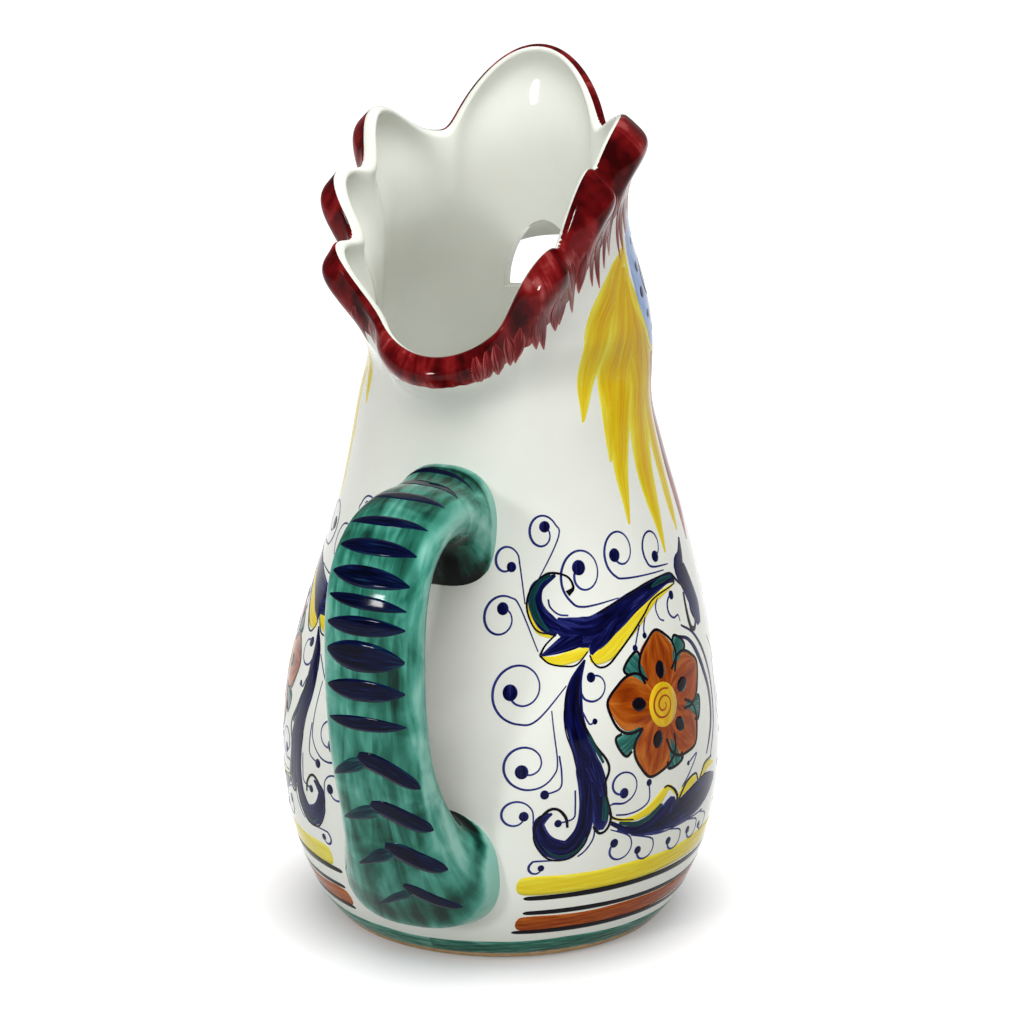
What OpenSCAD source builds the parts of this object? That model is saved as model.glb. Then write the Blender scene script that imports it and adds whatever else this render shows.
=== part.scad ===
// Chicken pitcher in glazed earthenware: a thrown body, a modelled hen's head whose scalloped rim is
// the comb, an open beak for a spout, and a strap handle down the back.
// Millimetres, +Z up, origin at the middle of the foot on the table, beak towards -Y, handle at +Y.

/* [Body] */
// Radius of the foot where it meets the table
foot_r = 44.4; // [38:0.1:50]
// Largest radius of the belly
belly_r = 61.4; // [56:0.1:68]
// Height of the widest part of the belly
belly_z = 50; // [42:1:58]
// Height of the seam between the belly and the chest
seam_z = 66; // [60:1:78]
// Radius of the neck under the head
neck_r = 40.4; // [36:0.1:45]
// Height of the seam between the neck and the head
neck_z = 148; // [136:1:160]
// How far the chest swells towards the beak
chest_lean = 5.8; // [0:0.1:8]
// Thickness of the thrown wall
wall_t = 5; // [4:0.1:6.5]

/* [Foot and floor] */
// Height of the turned foot ring
foot_h = 5; // [4:0.1:7]
// Width of the foot ring across its flat underside
foot_w = 8; // [5:0.1:12]
// Chamfer at the outer edge of the foot, wiped clean of glaze
foot_edge = 0.8; // [0.4:0.1:1.5]
// How far the floor is hollowed under the foot ring
floor_recess = 2.5; // [1:0.1:3.5]
// Thickness of the floor
floor_t = 5.5; // [4:0.1:7]

/* [Head] */
// Height of the rim at the nape above the neck seam
nape_rise = 23.5; // [20:0.5:30]
// Height of the crest above the rim at the nape
comb_h = 70.5; // [56:0.5:80]
// Half width of the mouth inside its flare
mouth_half_w = 31; // [27:0.5:36]
// Half length of the mouth inside its flare, beak to nape
mouth_half_l = 36; // [32:0.5:42]
// How far the mouth is set back from the axis of the body
mouth_back = 11; // [5:0.5:16]
// How far the rim flares all round
rim_flare = 5; // [2:0.5:8]
// Depth below the rim over which the flare fades
flare_fade = 9; // [6:0.5:12]
// Thickness of the wall at the rim
rim_t = 4.5; // [3.5:0.1:6]
// Height of the rounding on the lip
lip_h = 2; // [1:0.1:3]
// How far a cheek swells
cheek_swell = 2.2; // [0:0.1:4]
// Height of the middle of a cheek above the neck seam
cheek_up = 24; // [18:0.5:30]
// Half height of a cheek
cheek_half = 26; // [18:0.5:32]
// How far the throat draws in under the back of the rim
throat_in = 2; // [0:0.1:3.5]
// Height of the middle of the throat above the neck seam
throat_up = 15; // [10:0.5:20]
// Half height of the throat
throat_half = 16; // [10:0.5:20]

/* [Comb] */
// How far the fullest lobe puffs out
lobe_puff = 9; // [5:0.5:12]
// Depth below the rim at which a lobe is fullest
puff_depth = 8; // [6:0.5:11]
// Height of the comb below its notches, where it is joined to the head
comb_root = 8; // [6:0.5:10]

/* [Beak] */
// Half width of the opening behind the beak
gape_half_w = 12.5; // [10:0.5:15]
// Height of the sill of that opening above the neck seam
gape_up = 23; // [19:0.5:27]
// Height of the straight sides of the opening
gape_side = 7; // [4:0.5:9]
// Length of the upper beak
upper_beak_l = 27; // [18:0.5:34]
// Thickness of the upper beak at its root
upper_beak_t = 4; // [3:0.1:6]
// Height of the gape of the upper beak above the sill
upper_gape = 11.5; // [8:0.5:14]
// Length of the lower beak
lower_beak_l = 19; // [12:0.5:24]
// Thickness of the lower beak at its root
lower_beak_t = 6; // [4:0.1:8]
// How far the tip of the upper beak hooks down
upper_hook = 3; // [0:0.5:5]
// How far the lower beak drops towards its tip
lower_drop = 6; // [3:0.5:9]
// Thickness of the lower beak along its edge
lower_edge = 1.2; // [0.8:0.1:2]
// Depth of the hollow along the lower beak
lower_hollow = 1.2; // [0.5:0.1:2]
// Radius of the tips of the beak
beak_tip = 1.6; // [1:0.1:3]

/* [Handle] */
// Distance of the middle of the strap from the axis at its furthest
handle_reach = 88; // [82:0.5:98]
// Height of the upper root
upper_root_z = 121; // [114:0.5:126]
// Half height of the upper root
upper_root_half = 18; // [12:0.5:20]
// Half width of the upper root
upper_root_w = 14.5; // [12:0.5:20]
// Height of the lower root
lower_root_z = 31; // [28:0.5:40]
// Half height of the lower root
lower_root_half = 19; // [12:0.5:20]
// Half width of the lower root
lower_root_w = 22; // [15:0.5:25]
// Half width of the strap
strap_w = 14; // [10:0.5:16]
// Half thickness of the strap
strap_t = 5.3; // [4:0.1:7]

/* [Hidden] */
$fn = 96;
overrun = 20;

// Shape of the body: how round the belly turns in to the foot, and shares of the way from the neck's
// radius to the belly's and of the chest's swell, at even steps upwards
belly_round = 2.2;
belly_fullness = 0.75;
chest_r_shares = [1, 0.942, 0.803, 0.598, 0.38, 0.175, 0];
lean_shares = [0, 0.36, 0.81, 1, 0.74, 0.41];
neck_y = -chest_lean * lean_shares[len(lean_shares) - 1];

// Shape of the rim, anticlockwise from the notch on the right of the crest: angles from the beak, then
// rise of each notch as a share of comb_h and pinch as a share of lobe_puff
notch_angles = [-42, 42, 96, 120, 147, 213, 240, 264, 318];
notch_rise_shares = [0.709, 0.667, 0.567, 0.34, 0.128, 0.128, 0.362, 0.574, 0.709];
notch_pinch_shares = [0, 0, 0.22, 0.17, 0, 0, 0.17, 0.22, 0];
// Each lobe between two notches: where it peaks, its rise as a share of comb_h, and how far its edge
// stands out and how far it puffs below the edge as shares of lobe_puff
lobe_peak_shares = [0.5, 0.74, 0.52, 0.5, 0.5, 0.5, 0.48, 0.26];
lobe_rise_shares = [0.312, 0.206, 0.128, 0.106, -0.128, 0.142, 0.2, 0.206];
lobe_out_shares = [0, 0.17, 0.67, 0.89, 0.11, 0.5, 0.22, 0.33];
lobe_puff_shares = [0.55, 0.8, 0.95, 1, 1, 1, 0.95, 0.89];
lobe_fullness = 0.9;
// Angles over which the notches are softened
soften = [-4, -2, 0, 2, 4];
head_taper = 1.4;
cheek_angle = 68;
cheek_span = 36;
throat_angles = [70, 110];

// Heights that follow from the sizes above
nape_z = neck_z + nape_rise;
sill_z = neck_z + gape_up;
arch_z = sill_z + gape_side;
upper_gape_z = sill_z + upper_gape;
floor_z = floor_recess + floor_t;
floor_r = foot_r - foot_w;

// How the beak narrows from root to tip
beak_taper = 1.7;

// Steps round and up each skin
body_steps = 72;
head_step = 3;
foot_steps = [0, 0.5, 1];
belly_rows = 18;
chest_rows = 8;
head_rows = 9;
comb_rows = 6;
lip_angles = [45, 90, 135];
beak_rows = 8;
beak_angles = [0 : 15 : 180];
arch_angles = [0 : 7.5 : 180];

// The strap's middle line from the upper root to the lower: shares of the way out from the wall to
// handle_reach and of the way up from the lower root to the upper
strap_out_shares = [0, 0.19, 0.4, 0.66, 0.87, 0.975, 1, 0.97, 0.86, 0.63, 0.35, 0];
strap_up_shares = [1, 1.066, 1.1, 1.088, 1.02, 0.9, 0.745, 0.57, 0.4, 0.245, 0.11, 0];
// How much of each root's flare is left at those places
upper_flare_shares = [1, 0.38, 0.13, 0.03, 0, 0, 0, 0, 0, 0, 0, 0];
lower_flare_shares = [0, 0, 0, 0, 0, 0, 0, 0, 0.03, 0.14, 0.42, 1];
strap_rows = 33;
strap_sides = 20;
strap_squareness = 0.8;
root_fill_shares = [0.1, 0.4, 0.7];

// Plain helpers
function mix(a, b, t) = a + (b - a) * t;
function limit(t) = min(1, max(0, t));
function bump(t) = abs(t) < 1 ? pow(1 - t * t, 2) : 0;
function slope(v, i) = i == 0 ? 0 : i == len(v) - 1 ? v[i] - v[i - 1] : (v[i + 1] - v[i - 1]) / 2;

// Smooth curve through evenly spaced values, level at the first one
function curve(v, t) =
    let (n = len(v) - 1, x = limit(t) * n, i = min(n - 1, floor(x)), f = x - i, g = 1 - f)
    g * g * (1 + 2 * f) * v[i] + f * f * (3 - 2 * f) * v[i + 1]
        + f * g * (g * slope(v, i) - f * slope(v, i + 1));

// Outside of the body: its radius and the place of its middle at a height
function body_r(z) = z < belly_z
    ? mix(foot_r, belly_r, pow(1 - pow(1 - z / belly_z, belly_round), belly_fullness))
    : mix(neck_r, belly_r, curve(chest_r_shares, (z - belly_z) / (neck_z - belly_z)));
function body_y(z) = -chest_lean * curve(lean_shares, (z - seam_z) / (neck_z - seam_z));
function wall_y(x, z) = body_y(z) + sqrt(pow(body_r(z), 2) - x * x);

// The rim at an angle: its rise, how far its edge stands out, how far it puffs and the rise of the
// line that joins the notches, first with sharp notches and then softened
function wrap(a) = a < notch_angles[0] ? a + 360
    : a >= notch_angles[len(notch_angles) - 1] ? a - 360
    : a;
function lobe_at(a, i = 0) = a < notch_angles[i + 1] ? i : lobe_at(a, i + 1);
function sharp_rim(a) =
    let (
        i = lobe_at(a),
        t = (a - notch_angles[i]) / (notch_angles[i + 1] - notch_angles[i]),
        skewed = pow(t, ln(0.5) / ln(lobe_peak_shares[i])),
        arch = pow(4 * skewed * (1 - skewed), lobe_fullness),
        line = mix(notch_rise_shares[i], notch_rise_shares[i + 1], t),
        pinch = mix(notch_pinch_shares[i], notch_pinch_shares[i + 1], t)
    )
    [line + lobe_rise_shares[i] * arch, lobe_out_shares[i] * arch - pinch * (1 - arch),
        lobe_puff_shares[i] * arch, line + min(0, lobe_rise_shares[i]) * arch];
function rim(a) = [for (s = soften) 1 / len(soften)] * [for (s = soften) sharp_rim(wrap(a + s))];
function rim_z(r) = nape_z + comb_h * r[0];
function comb_foot_z(r) = nape_z + comb_h * r[3] - comb_root;

// A point of the head at an angle and height, inset from its outside
function head_point(a, r, z, inset) =
    let (
        depth = max(0, rim_z(r) - z),
        up = limit((z - neck_z) / (rim_z(r) - neck_z)),
        s = pow(up, head_taper),
        side = abs(a > 180 ? a - 360 : a),
        puff = lobe_puff * r[2] * pow(depth / puff_depth * exp(1 - depth / puff_depth), 2),
        flare = (rim_flare + lobe_puff * r[1]) * exp(-depth / flare_fade) * up,
        cheek = cheek_swell * bump((side - cheek_angle) / cheek_span)
            * bump((z - neck_z - cheek_up) / cheek_half),
        throat = throat_in * bump((z - neck_z - throat_up) / throat_half)
            * limit((side - throat_angles[0]) / (throat_angles[1] - throat_angles[0])),
        out = flare + puff + cheek - throat - inset
    )
    [(mix(neck_r, mouth_half_w, s) + out) * sin(a),
        mix(neck_y, mouth_back, s) - (mix(neck_r, mouth_half_l, s) + out) * cos(a), z];

// Front of the head at a place across and a height, found by closing in on its angle
function face_y(x, z, a = 0, tries = 4) =
    let (p = head_point(a, rim(a), z, 0))
    tries == 0 ? p[1]
        : face_y(x, z, a + asin(limit(abs(x - p[0]) / neck_r)) * sign(x - p[0]), tries - 1);

// Solid that joins a row of matching outlines, closed in a ring or capped at both ends
module skin(rows, ring) {
    n = len(rows);
    m = len(rows[0]);
    sides = [for (i = [0 : n - (ring ? 1 : 2)]) for (j = [0 : m - 1])
        let (here = i * m, next = (i + 1) % n * m, k = (j + 1) % m)
        each [[here + j, here + k, next + k], [here + j, next + k, next + j]]];
    strips = [for (k = [0 : ceil(m / 2) - 2])
        each [[k, m - 2 - k, k + 1], [k, m - 1 - k, m - 2 - k]]];
    flat_strips = [for (s = strips) if (s[0] != s[1] && s[1] != s[2] && s[0] != s[2]) s];
    last = (n - 1) * m;
    caps = ring ? [] : [for (s = flat_strips) each [s, [last + s[0], last + s[2], last + s[1]]]];
    polyhedron([for (r = rows) each r], concat(sides, caps));
}

// Cut through the wall at one angle: up the outside, over the lip if there is one, and down the inside
function head_outline(a, r) =
    let (top = comb_foot_z(r))
    concat([for (j = [0 : head_rows]) head_point(a, r, mix(neck_z, top, j / head_rows), 0)],
        [for (j = [head_rows : -1 : 0])
            head_point(a, r, mix(neck_z, top, j / head_rows), mix(wall_t, rim_t, j / head_rows))]);
function comb_outline(a, r) =
    let (foot = comb_foot_z(r), top = rim_z(r) - lip_h)
    concat([for (j = [0 : comb_rows]) head_point(a, r, mix(foot, top, j / comb_rows), 0)],
        [for (t = lip_angles) head_point(a, r, top + lip_h * sin(t), rim_t * (1 - cos(t)) / 2)],
        [for (j = [comb_rows : -1 : 0]) head_point(a, r, mix(foot, top, j / comb_rows), rim_t)]);

// Stretch of the comb between two angles
module comb(from, to) {
    skin([for (a = [from : head_step : to]) comb_outline(a, rim(a))], false);
}

// Profile of the belly between two heights, inset from its outside
function belly_profile(low, high, inset) =
    [for (j = [0 : belly_rows]) let (z = mix(low, high, j / belly_rows)) [body_r(z) - inset, z]];
function reversed(v) = [for (i = [len(v) - 1 : -1 : 0]) v[i]];

// Ring of points round the chest at a height, inset from its outside
function chest_point(a, z, inset) =
    let (r = body_r(z) - inset)
    [r * sin(a), body_y(z) - r * cos(a), z];

module foot_ring() {
    color("peru")
    rotate_extrude()
    polygon(concat([[floor_r, foot_h], [floor_r, 0], [foot_r - foot_edge, 0]],
        [for (t = foot_steps) let (z = mix(foot_edge, foot_h, t)) [body_r(z), z]]));
}

module floor_disc() {
    color("whitesmoke")
    translate([0, 0, floor_recess])
    cylinder(r = floor_r, h = floor_t);
}

module belly_wall() {
    color("white")
    rotate_extrude()
    polygon(concat(belly_profile(foot_h, seam_z, 0), reversed(belly_profile(floor_z, seam_z, wall_t)),
        [[floor_r, floor_z], [floor_r, foot_h]]));
}

module chest_wall() {
    color("white")
    skin([for (k = [0 : body_steps - 1]) let (a = 360 * k / body_steps)
        concat([for (j = [0 : chest_rows]) chest_point(a, mix(seam_z, neck_z, j / chest_rows), 0)],
            [for (j = [chest_rows : -1 : 0]) chest_point(a, mix(seam_z, neck_z, j / chest_rows), wall_t)])],
        true);
}

// Arched opening behind the beak, cut straight back through the front of the head
module gape() {
    translate([0, neck_y - neck_r - overrun, 0])
    rotate([-90, 0, 0])
    linear_extrude(overrun + neck_r)
    polygon(concat([[gape_half_w, -sill_z], [-gape_half_w, -sill_z]],
        [for (t = arch_angles) -[gape_half_w * cos(t), arch_z + gape_half_w * sin(t)]]));
}

module head_wall() {
    color("white")
    difference() {
        skin([for (a = [0 : head_step : 360 - head_step]) head_outline(a, rim(a))], true);
        gape();
    }
}

module crest() {
    color("firebrick")
    comb(notch_angles[0], notch_angles[1]);
}

module left_comb() {
    color("firebrick")
    comb(notch_angles[1], notch_angles[4]);
}

module nape_lip() {
    color("firebrick")
    comb(notch_angles[4], notch_angles[5]);
}

module right_comb() {
    color("firebrick")
    comb(notch_angles[5], notch_angles[8]);
}

// A beak's outlines from its root on the face to its tip: an outer arch and back along an inner one
function beak_outline(u, length, root_z, half_w, outer_h, inner_h, edge_z, edge_t) =
    let (tip_y = face_y(0, root_z) - length)
    concat([for (t = beak_angles) beak_point(u, tip_y, half_w * cos(t), edge_z + outer_h * sin(t))],
        [for (t = beak_angles)
            beak_point(u, tip_y, (edge_t - half_w) * cos(t), edge_z + inner_h * sin(t))]);
function beak_point(u, tip_y, x, z) = [x, mix(face_y(x, z), tip_y, u), z];

module upper_beak() {
    root_w = sqrt(pow(gape_half_w, 2) - pow(upper_gape_z - arch_z, 2)) + upper_beak_t;
    root_h = arch_z + gape_half_w + upper_beak_t - upper_gape_z;
    color("goldenrod")
    skin([for (i = [beak_rows : -1 : 0])
        let (u = i / beak_rows, s = pow(u, beak_taper), t = mix(upper_beak_t, beak_tip / 2, u),
            h = mix(root_h, 2 * beak_tip, s))
        beak_outline(u, upper_beak_l, upper_gape_z, mix(root_w, beak_tip, s), h, h - t,
            upper_gape_z - upper_hook * pow(u, 3), t)], false);
}

module lower_beak() {
    color("goldenrod")
    skin([for (i = [0 : beak_rows])
        let (u = i / beak_rows, s = pow(u, beak_taper), h = mix(lower_beak_t, 2 * beak_tip, s),
            hollow = mix(lower_hollow, 0, u))
        beak_outline(u, lower_beak_l, sill_z, mix(gape_half_w - lower_edge, beak_tip, s),
            -h, -hollow - lower_edge, sill_z - lower_drop * u, lower_edge)], false);
}

// The strap's middle line, as places across and up, and the way its outer face points
function strap_mid(t) =
    let (
        up = curve(strap_up_shares, t),
        wall = mix(wall_y(0, lower_root_z), wall_y(0, upper_root_z), limit(up))
    )
    [mix(wall, handle_reach, curve(strap_out_shares, t)), mix(lower_root_z, upper_root_z, up)];
function unit(v) = v / norm(v);
function strap_face(t, upper, lower) =
    let (step = 0.5 / strap_rows, d = unit(strap_mid(min(1, t + step)) - strap_mid(max(0, t - step))))
    unit([-d[1], d[0]] * (1 - upper - lower) + [0, upper - lower]);

// Squared-off oval of the strap, as shares of its half width and half thickness
function rounded(v) = sign(v) * pow(abs(v), strap_squareness);
strap_oval = [for (k = [0 : strap_sides - 1])
    let (a = 360 * (k + 0.5) / strap_sides)
    [rounded(cos(a)), rounded(sin(a))]];

function strap_outline(t) =
    let (
        upper = curve(upper_flare_shares, t),
        lower = curve(lower_flare_shares, t),
        half_w = strap_w + (upper_root_w - strap_w) * upper + (lower_root_w - strap_w) * lower,
        half_t = strap_t + (upper_root_half - strap_t) * upper + (lower_root_half - strap_t) * lower,
        mid = strap_mid(t),
        face = strap_face(t, upper, lower)
    )
    [for (p = strap_oval) let (q = mid + half_t * p[1] * face) [half_w * p[0], q[0], q[1]]];
function root_outline(z, half_w, half_h, share) =
    [for (p = strap_oval)
        let (x = share * half_w * p[0], up = z + share * half_h * p[1])
        [x, wall_y(x, up), up]];

module strap_handle() {
    color("mediumseagreen")
    skin(concat(
        [for (q = concat(root_fill_shares, [1]))
            root_outline(upper_root_z, upper_root_w, upper_root_half, q)],
        [for (i = [1 : strap_rows - 1]) strap_outline(i / strap_rows)],
        [for (q = concat([1], reversed(root_fill_shares)))
            root_outline(lower_root_z, lower_root_w, -lower_root_half, q)]), false);
}

foot_ring();
floor_disc();
belly_wall();
chest_wall();
head_wall();
upper_beak();
lower_beak();
crest();
left_comb();
right_comb();
nape_lip();
strap_handle();
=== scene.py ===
"""Chicken pitcher: a hen in tin-glazed earthenware, thrown, pinched and painted by hand."""
import math

import bmesh
import bpy
import numpy as np
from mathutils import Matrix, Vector


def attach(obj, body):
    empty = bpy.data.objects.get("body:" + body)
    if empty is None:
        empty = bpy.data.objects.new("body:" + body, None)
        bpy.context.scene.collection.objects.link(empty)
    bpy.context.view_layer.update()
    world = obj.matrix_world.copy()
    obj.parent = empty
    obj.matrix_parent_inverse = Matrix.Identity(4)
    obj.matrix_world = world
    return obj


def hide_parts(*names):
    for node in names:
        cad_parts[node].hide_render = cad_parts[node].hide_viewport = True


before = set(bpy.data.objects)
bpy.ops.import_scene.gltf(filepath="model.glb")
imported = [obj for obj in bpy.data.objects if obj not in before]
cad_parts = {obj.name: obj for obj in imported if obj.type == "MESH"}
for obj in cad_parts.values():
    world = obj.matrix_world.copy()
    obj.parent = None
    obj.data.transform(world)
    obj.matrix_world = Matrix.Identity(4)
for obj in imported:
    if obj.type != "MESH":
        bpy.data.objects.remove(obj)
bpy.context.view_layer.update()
MM = 0.001

# Sizes in millimetres, as in the solids
FOOT_R, FOOT_H, FLOOR_R, FLOOR_Z = 44.4, 5.0, 36.4, 8.0
BELLY_R, BELLY_Z, SEAM_Z = 61.4, 50.0, 66.0
NECK_R, NECK_Z, CHEST_LEAN, WALL = 40.4, 148.0, 5.8, 5.0
NAPE_Z, COMB_H, COMB_ROOT = 171.5, 70.5, 8.0
MOUTH_W, MOUTH_L, MOUTH_BACK = 31.0, 36.0, 11.0
RIM_FLARE, FLARE_FADE, RIM_T, LIP_H = 5.0, 9.0, 4.5, 2.0
LOBE_PUFF, PUFF_DEPTH = 9.0, 8.0
GAPE_W, SILL_Z, ARCH_Z, UPPER_GAPE_Z = 12.5, 171.0, 178.0, 182.5
GAPE_FRONT, GAPE_BACK = -70.0, -12.0
UPPER_BEAK, LOWER_BEAK, BEAK_T, LIP_T, TIP_W, TIP_H, TIP_T = 27, 19, 4, 1.2, 1.6, 3.2, 0.8
HOOK_DROP, LIP_DROP, LIP_DEEP = 3, 6, 6
STRAP_REACH, STRAP_W, STRAP_T = 88.0, 14.0, 5.3
UPPER_ROOT = {"z": 121.0, "half": 18.0, "w": 14.5}
LOWER_ROOT = {"z": 31.0, "half": 19.0, "w": 22.0}

# Cheeks and throat, with places round the wall in degrees, and the stretch over which the neck is smoothed
CHEEK_OUT, CHEEK_ANGLE, CHEEK_SPAN, CHEEK_RISE, CHEEK_TALL = 2.2, 68, 36, 24, 26
THROAT_IN, THROAT_RISE, THROAT_FROM, THROAT_FADE = 2.4, 12, 70, 40
NECK_BLEND, SEAM_REACH, SEAM_SOFTENING = 16, 17, 9

CHEST_R_SHARES = [1, 0.942, 0.803, 0.598, 0.38, 0.175, 0]
LEAN_SHARES = [0, 0.36, 0.81, 1, 0.74, 0.41]
NECK_Y = -CHEST_LEAN * LEAN_SHARES[-1]
NOTCH_ANGLES = np.array([-42, 42, 96, 120, 147, 213, 240, 264, 318.0])
NOTCH_RISE = np.array([0.709, 0.667, 0.567, 0.34, 0.128, 0.128, 0.362, 0.574, 0.709])
NOTCH_PINCH = np.array([0, 0, 0.22, 0.17, 0, 0, 0.17, 0.22, 0])
LOBE_PEAK = np.array([0.5, 0.74, 0.52, 0.5, 0.5, 0.5, 0.48, 0.26])
LOBE_RISE = np.array([0.312, 0.206, 0.128, 0.106, -0.128, 0.142, 0.2, 0.206])
LOBE_OUT = np.array([0, 0.17, 0.67, 0.89, 0.11, 0.5, 0.22, 0.33])
LOBE_FULL = np.array([0.55, 0.8, 0.95, 1, 1, 1, 0.95, 0.89])
STRAP_OUT = [0, 0.19, 0.4, 0.66, 0.87, 0.975, 1, 0.97, 0.86, 0.63, 0.35, 0]
STRAP_UP = [1, 1.066, 1.1, 1.088, 1.02, 0.9, 0.745, 0.57, 0.4, 0.245, 0.11, 0]
UPPER_FLARE = [1, 0.38, 0.13, 0.03, 0, 0, 0, 0, 0, 0, 0, 0]
LOWER_FLARE = [0, 0, 0, 0, 0, 0, 0, 0, 0.03, 0.14, 0.42, 1]


# Shape of the walls

def mix(a, b, t):
    return a + (b - a) * t


def bump(t):
    return (1 - np.minimum(1, np.square(t))) ** 2


def curve(values, t):
    """Smooth curve through evenly spaced values, level at the first one."""
    v = np.asarray(values, float)
    n = len(v) - 1
    slope = np.zeros(n + 1)
    slope[1:-1] = (v[2:] - v[:-2]) / 2
    slope[-1] = v[-1] - v[-2]
    x = np.clip(t, 0, 1) * n
    i = np.minimum(n - 1, np.floor(x).astype(int))
    f = x - i
    g = 1 - f
    return (g * g * (1 + 2 * f) * v[i] + f * f * (3 - 2 * f) * v[i + 1]
            + f * g * (g * slope[i] - f * slope[i + 1]))


def body_r(z):
    low = mix(FOOT_R, BELLY_R, (1 - np.clip(1 - z / BELLY_Z, 0, 1) ** 2.2) ** 0.75)
    high = mix(NECK_R, BELLY_R, curve(CHEST_R_SHARES, (z - BELLY_Z) / (NECK_Z - BELLY_Z)))
    return np.where(z < BELLY_Z, low, high)


def body_y(z):
    return -CHEST_LEAN * curve(LEAN_SHARES, (z - SEAM_Z) / (NECK_Z - SEAM_Z))


def sharp_rim(a):
    a = (a + 42) % 360 - 42
    i = np.clip(np.searchsorted(NOTCH_ANGLES, a, side="right") - 1, 0, len(LOBE_PEAK) - 1)
    t = (a - NOTCH_ANGLES[i]) / (NOTCH_ANGLES[i + 1] - NOTCH_ANGLES[i])
    s = t ** (math.log(0.5) / np.log(LOBE_PEAK[i]))
    arch = np.maximum(0, 4 * s * (1 - s)) ** 0.9
    line = mix(NOTCH_RISE[i], NOTCH_RISE[i + 1], t)
    pinch = mix(NOTCH_PINCH[i], NOTCH_PINCH[i + 1], t)
    return np.array([line + LOBE_RISE[i] * arch, LOBE_OUT[i] * arch - pinch * (1 - arch),
                     LOBE_FULL[i] * arch, line + np.minimum(0, LOBE_RISE[i]) * arch])


def rim(a):
    """Rise, lean and puff of the rim at an angle, with the notches softened as glaze softens them."""
    steps = np.arange(-5.5, 5.6, 0.5)
    weights = np.cos(steps / 12 * math.pi) ** 2
    return sum(w * sharp_rim(a + s) for s, w in zip(steps, weights / weights.sum()))


def rim_z(r):
    return NAPE_Z + COMB_H * r[0]


def comb_foot_z(r):
    return NAPE_Z + COMB_H * r[3] - COMB_ROOT


def head_point(a, r, z, inset):
    depth = np.maximum(0, rim_z(r) - z)
    up = np.clip((z - NECK_Z) / (rim_z(r) - NECK_Z), 0, 1)
    s = up ** 1.4
    side = np.abs((a + 180) % 360 - 180)
    clear = 1 - bump((z - NECK_Z) / NECK_BLEND)
    puff = clear * LOBE_PUFF * r[2] * (depth / PUFF_DEPTH * np.exp(1 - depth / PUFF_DEPTH)) ** 2
    flare = (RIM_FLARE + LOBE_PUFF * r[1]) * np.exp(-depth / FLARE_FADE) * up
    cheek = bump((side - CHEEK_ANGLE) / CHEEK_SPAN) * bump((z - NECK_Z - CHEEK_RISE) / CHEEK_TALL)
    throat = bump((z - NECK_Z) / THROAT_RISE - 1) * np.clip((side - THROAT_FROM) / THROAT_FADE, 0, 1)
    out = flare + puff + CHEEK_OUT * cheek - THROAT_IN * throat - inset
    t = np.radians(a)
    return np.stack([(mix(NECK_R, MOUTH_W, s) + out) * np.sin(t),
                     mix(NECK_Y, MOUTH_BACK, s) - (mix(NECK_R, MOUTH_L, s) + out) * np.cos(t), z], -1)


SEAM_STEPS = np.linspace(-0.9, 0.9, 15)
SEAM_WEIGHTS = np.cos(SEAM_STEPS * math.pi / 2) ** 2


def wall_point(a, z, inset=0.0, r=None):
    """Point of the wall at an angle from the beak and a height, with the neck seam smoothed over."""
    a, z, inset = np.broadcast_arrays(*(np.asarray(v, float) for v in (a, z, inset)))
    r = rim(a) if r is None else r
    reach = SEAM_SOFTENING * bump((z - NECK_Z) / SEAM_REACH)
    t = np.radians(a)
    total = 0
    for k, weight in zip(SEAM_STEPS, SEAM_WEIGHTS):
        h = z + k * reach
        radius = body_r(h) - inset
        body = np.stack([radius * np.sin(t), body_y(h) - radius * np.cos(t), h], -1)
        head = head_point(a, r, np.maximum(h, NECK_Z), inset)
        total = total + weight * np.where((h < NECK_Z)[..., None], body, head)
    p = total / SEAM_WEIGHTS.sum()
    p[..., 2] = z
    return p


# Making pieces: edges sharper than the fold, in degrees, stay crisp
FOLD, SOFT_FOLD = 40, 60


def put(name, data):
    thing = bpy.data.objects.new(name, data)
    bpy.context.scene.collection.objects.link(thing)
    return thing


def face_outward(mesh):
    form = bmesh.new()
    form.from_mesh(mesh)
    bmesh.ops.recalc_face_normals(form, faces=form.faces)
    form.to_mesh(mesh)
    form.free()
    mesh.shade_smooth()


def add_piece(name, points, faces, material, fold=FOLD):
    mesh = bpy.data.meshes.new(name)
    mesh.from_pydata((np.asarray(points).reshape(-1, 3) * MM).tolist(), [], faces)
    face_outward(mesh)
    mesh.set_sharp_from_angle(angle=math.radians(fold))
    mesh.materials.append(material)
    return put(name, mesh)


def settle(piece):
    """Plain mesh in place of what the piece's modifier makes."""
    made = bpy.data.meshes.new_from_object(piece.evaluated_get(bpy.context.evaluated_depsgraph_get()))
    piece.modifiers.clear()
    piece.data = made


def mark(mesh, **values):
    """Values at each point of a mesh, for its finish to read."""
    for key, value in values.items():
        mesh.attributes.new(key, "FLOAT", "POINT").data.foreach_set("value", np.ravel(value))


def skin(outlines, ring):
    """Quads that join a row of matching outlines, closed in a ring or capped at both ends."""
    n, m = outlines.shape[:2]
    index = np.arange(n * m).reshape(n, m)
    here = index if ring else index[:-1]
    there = np.roll(index, -1, 0) if ring else index[1:]
    quads = np.stack([here, np.roll(here, -1, 1), np.roll(there, -1, 1), there], -1)
    faces = quads.reshape(-1, 4).tolist()
    if not ring:
        for row in (index[0], index[-1]):
            faces += [[int(row[k]), int(row[k + 1]), int(row[m - 2 - k]), int(row[m - 1 - k])]
                      for k in range(m // 2 - 1)]
    return outlines.reshape(-1, 3), faces


def place(piece, slot, *nodes):
    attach(piece, "root")
    if nodes:
        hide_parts(*nodes)


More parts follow.
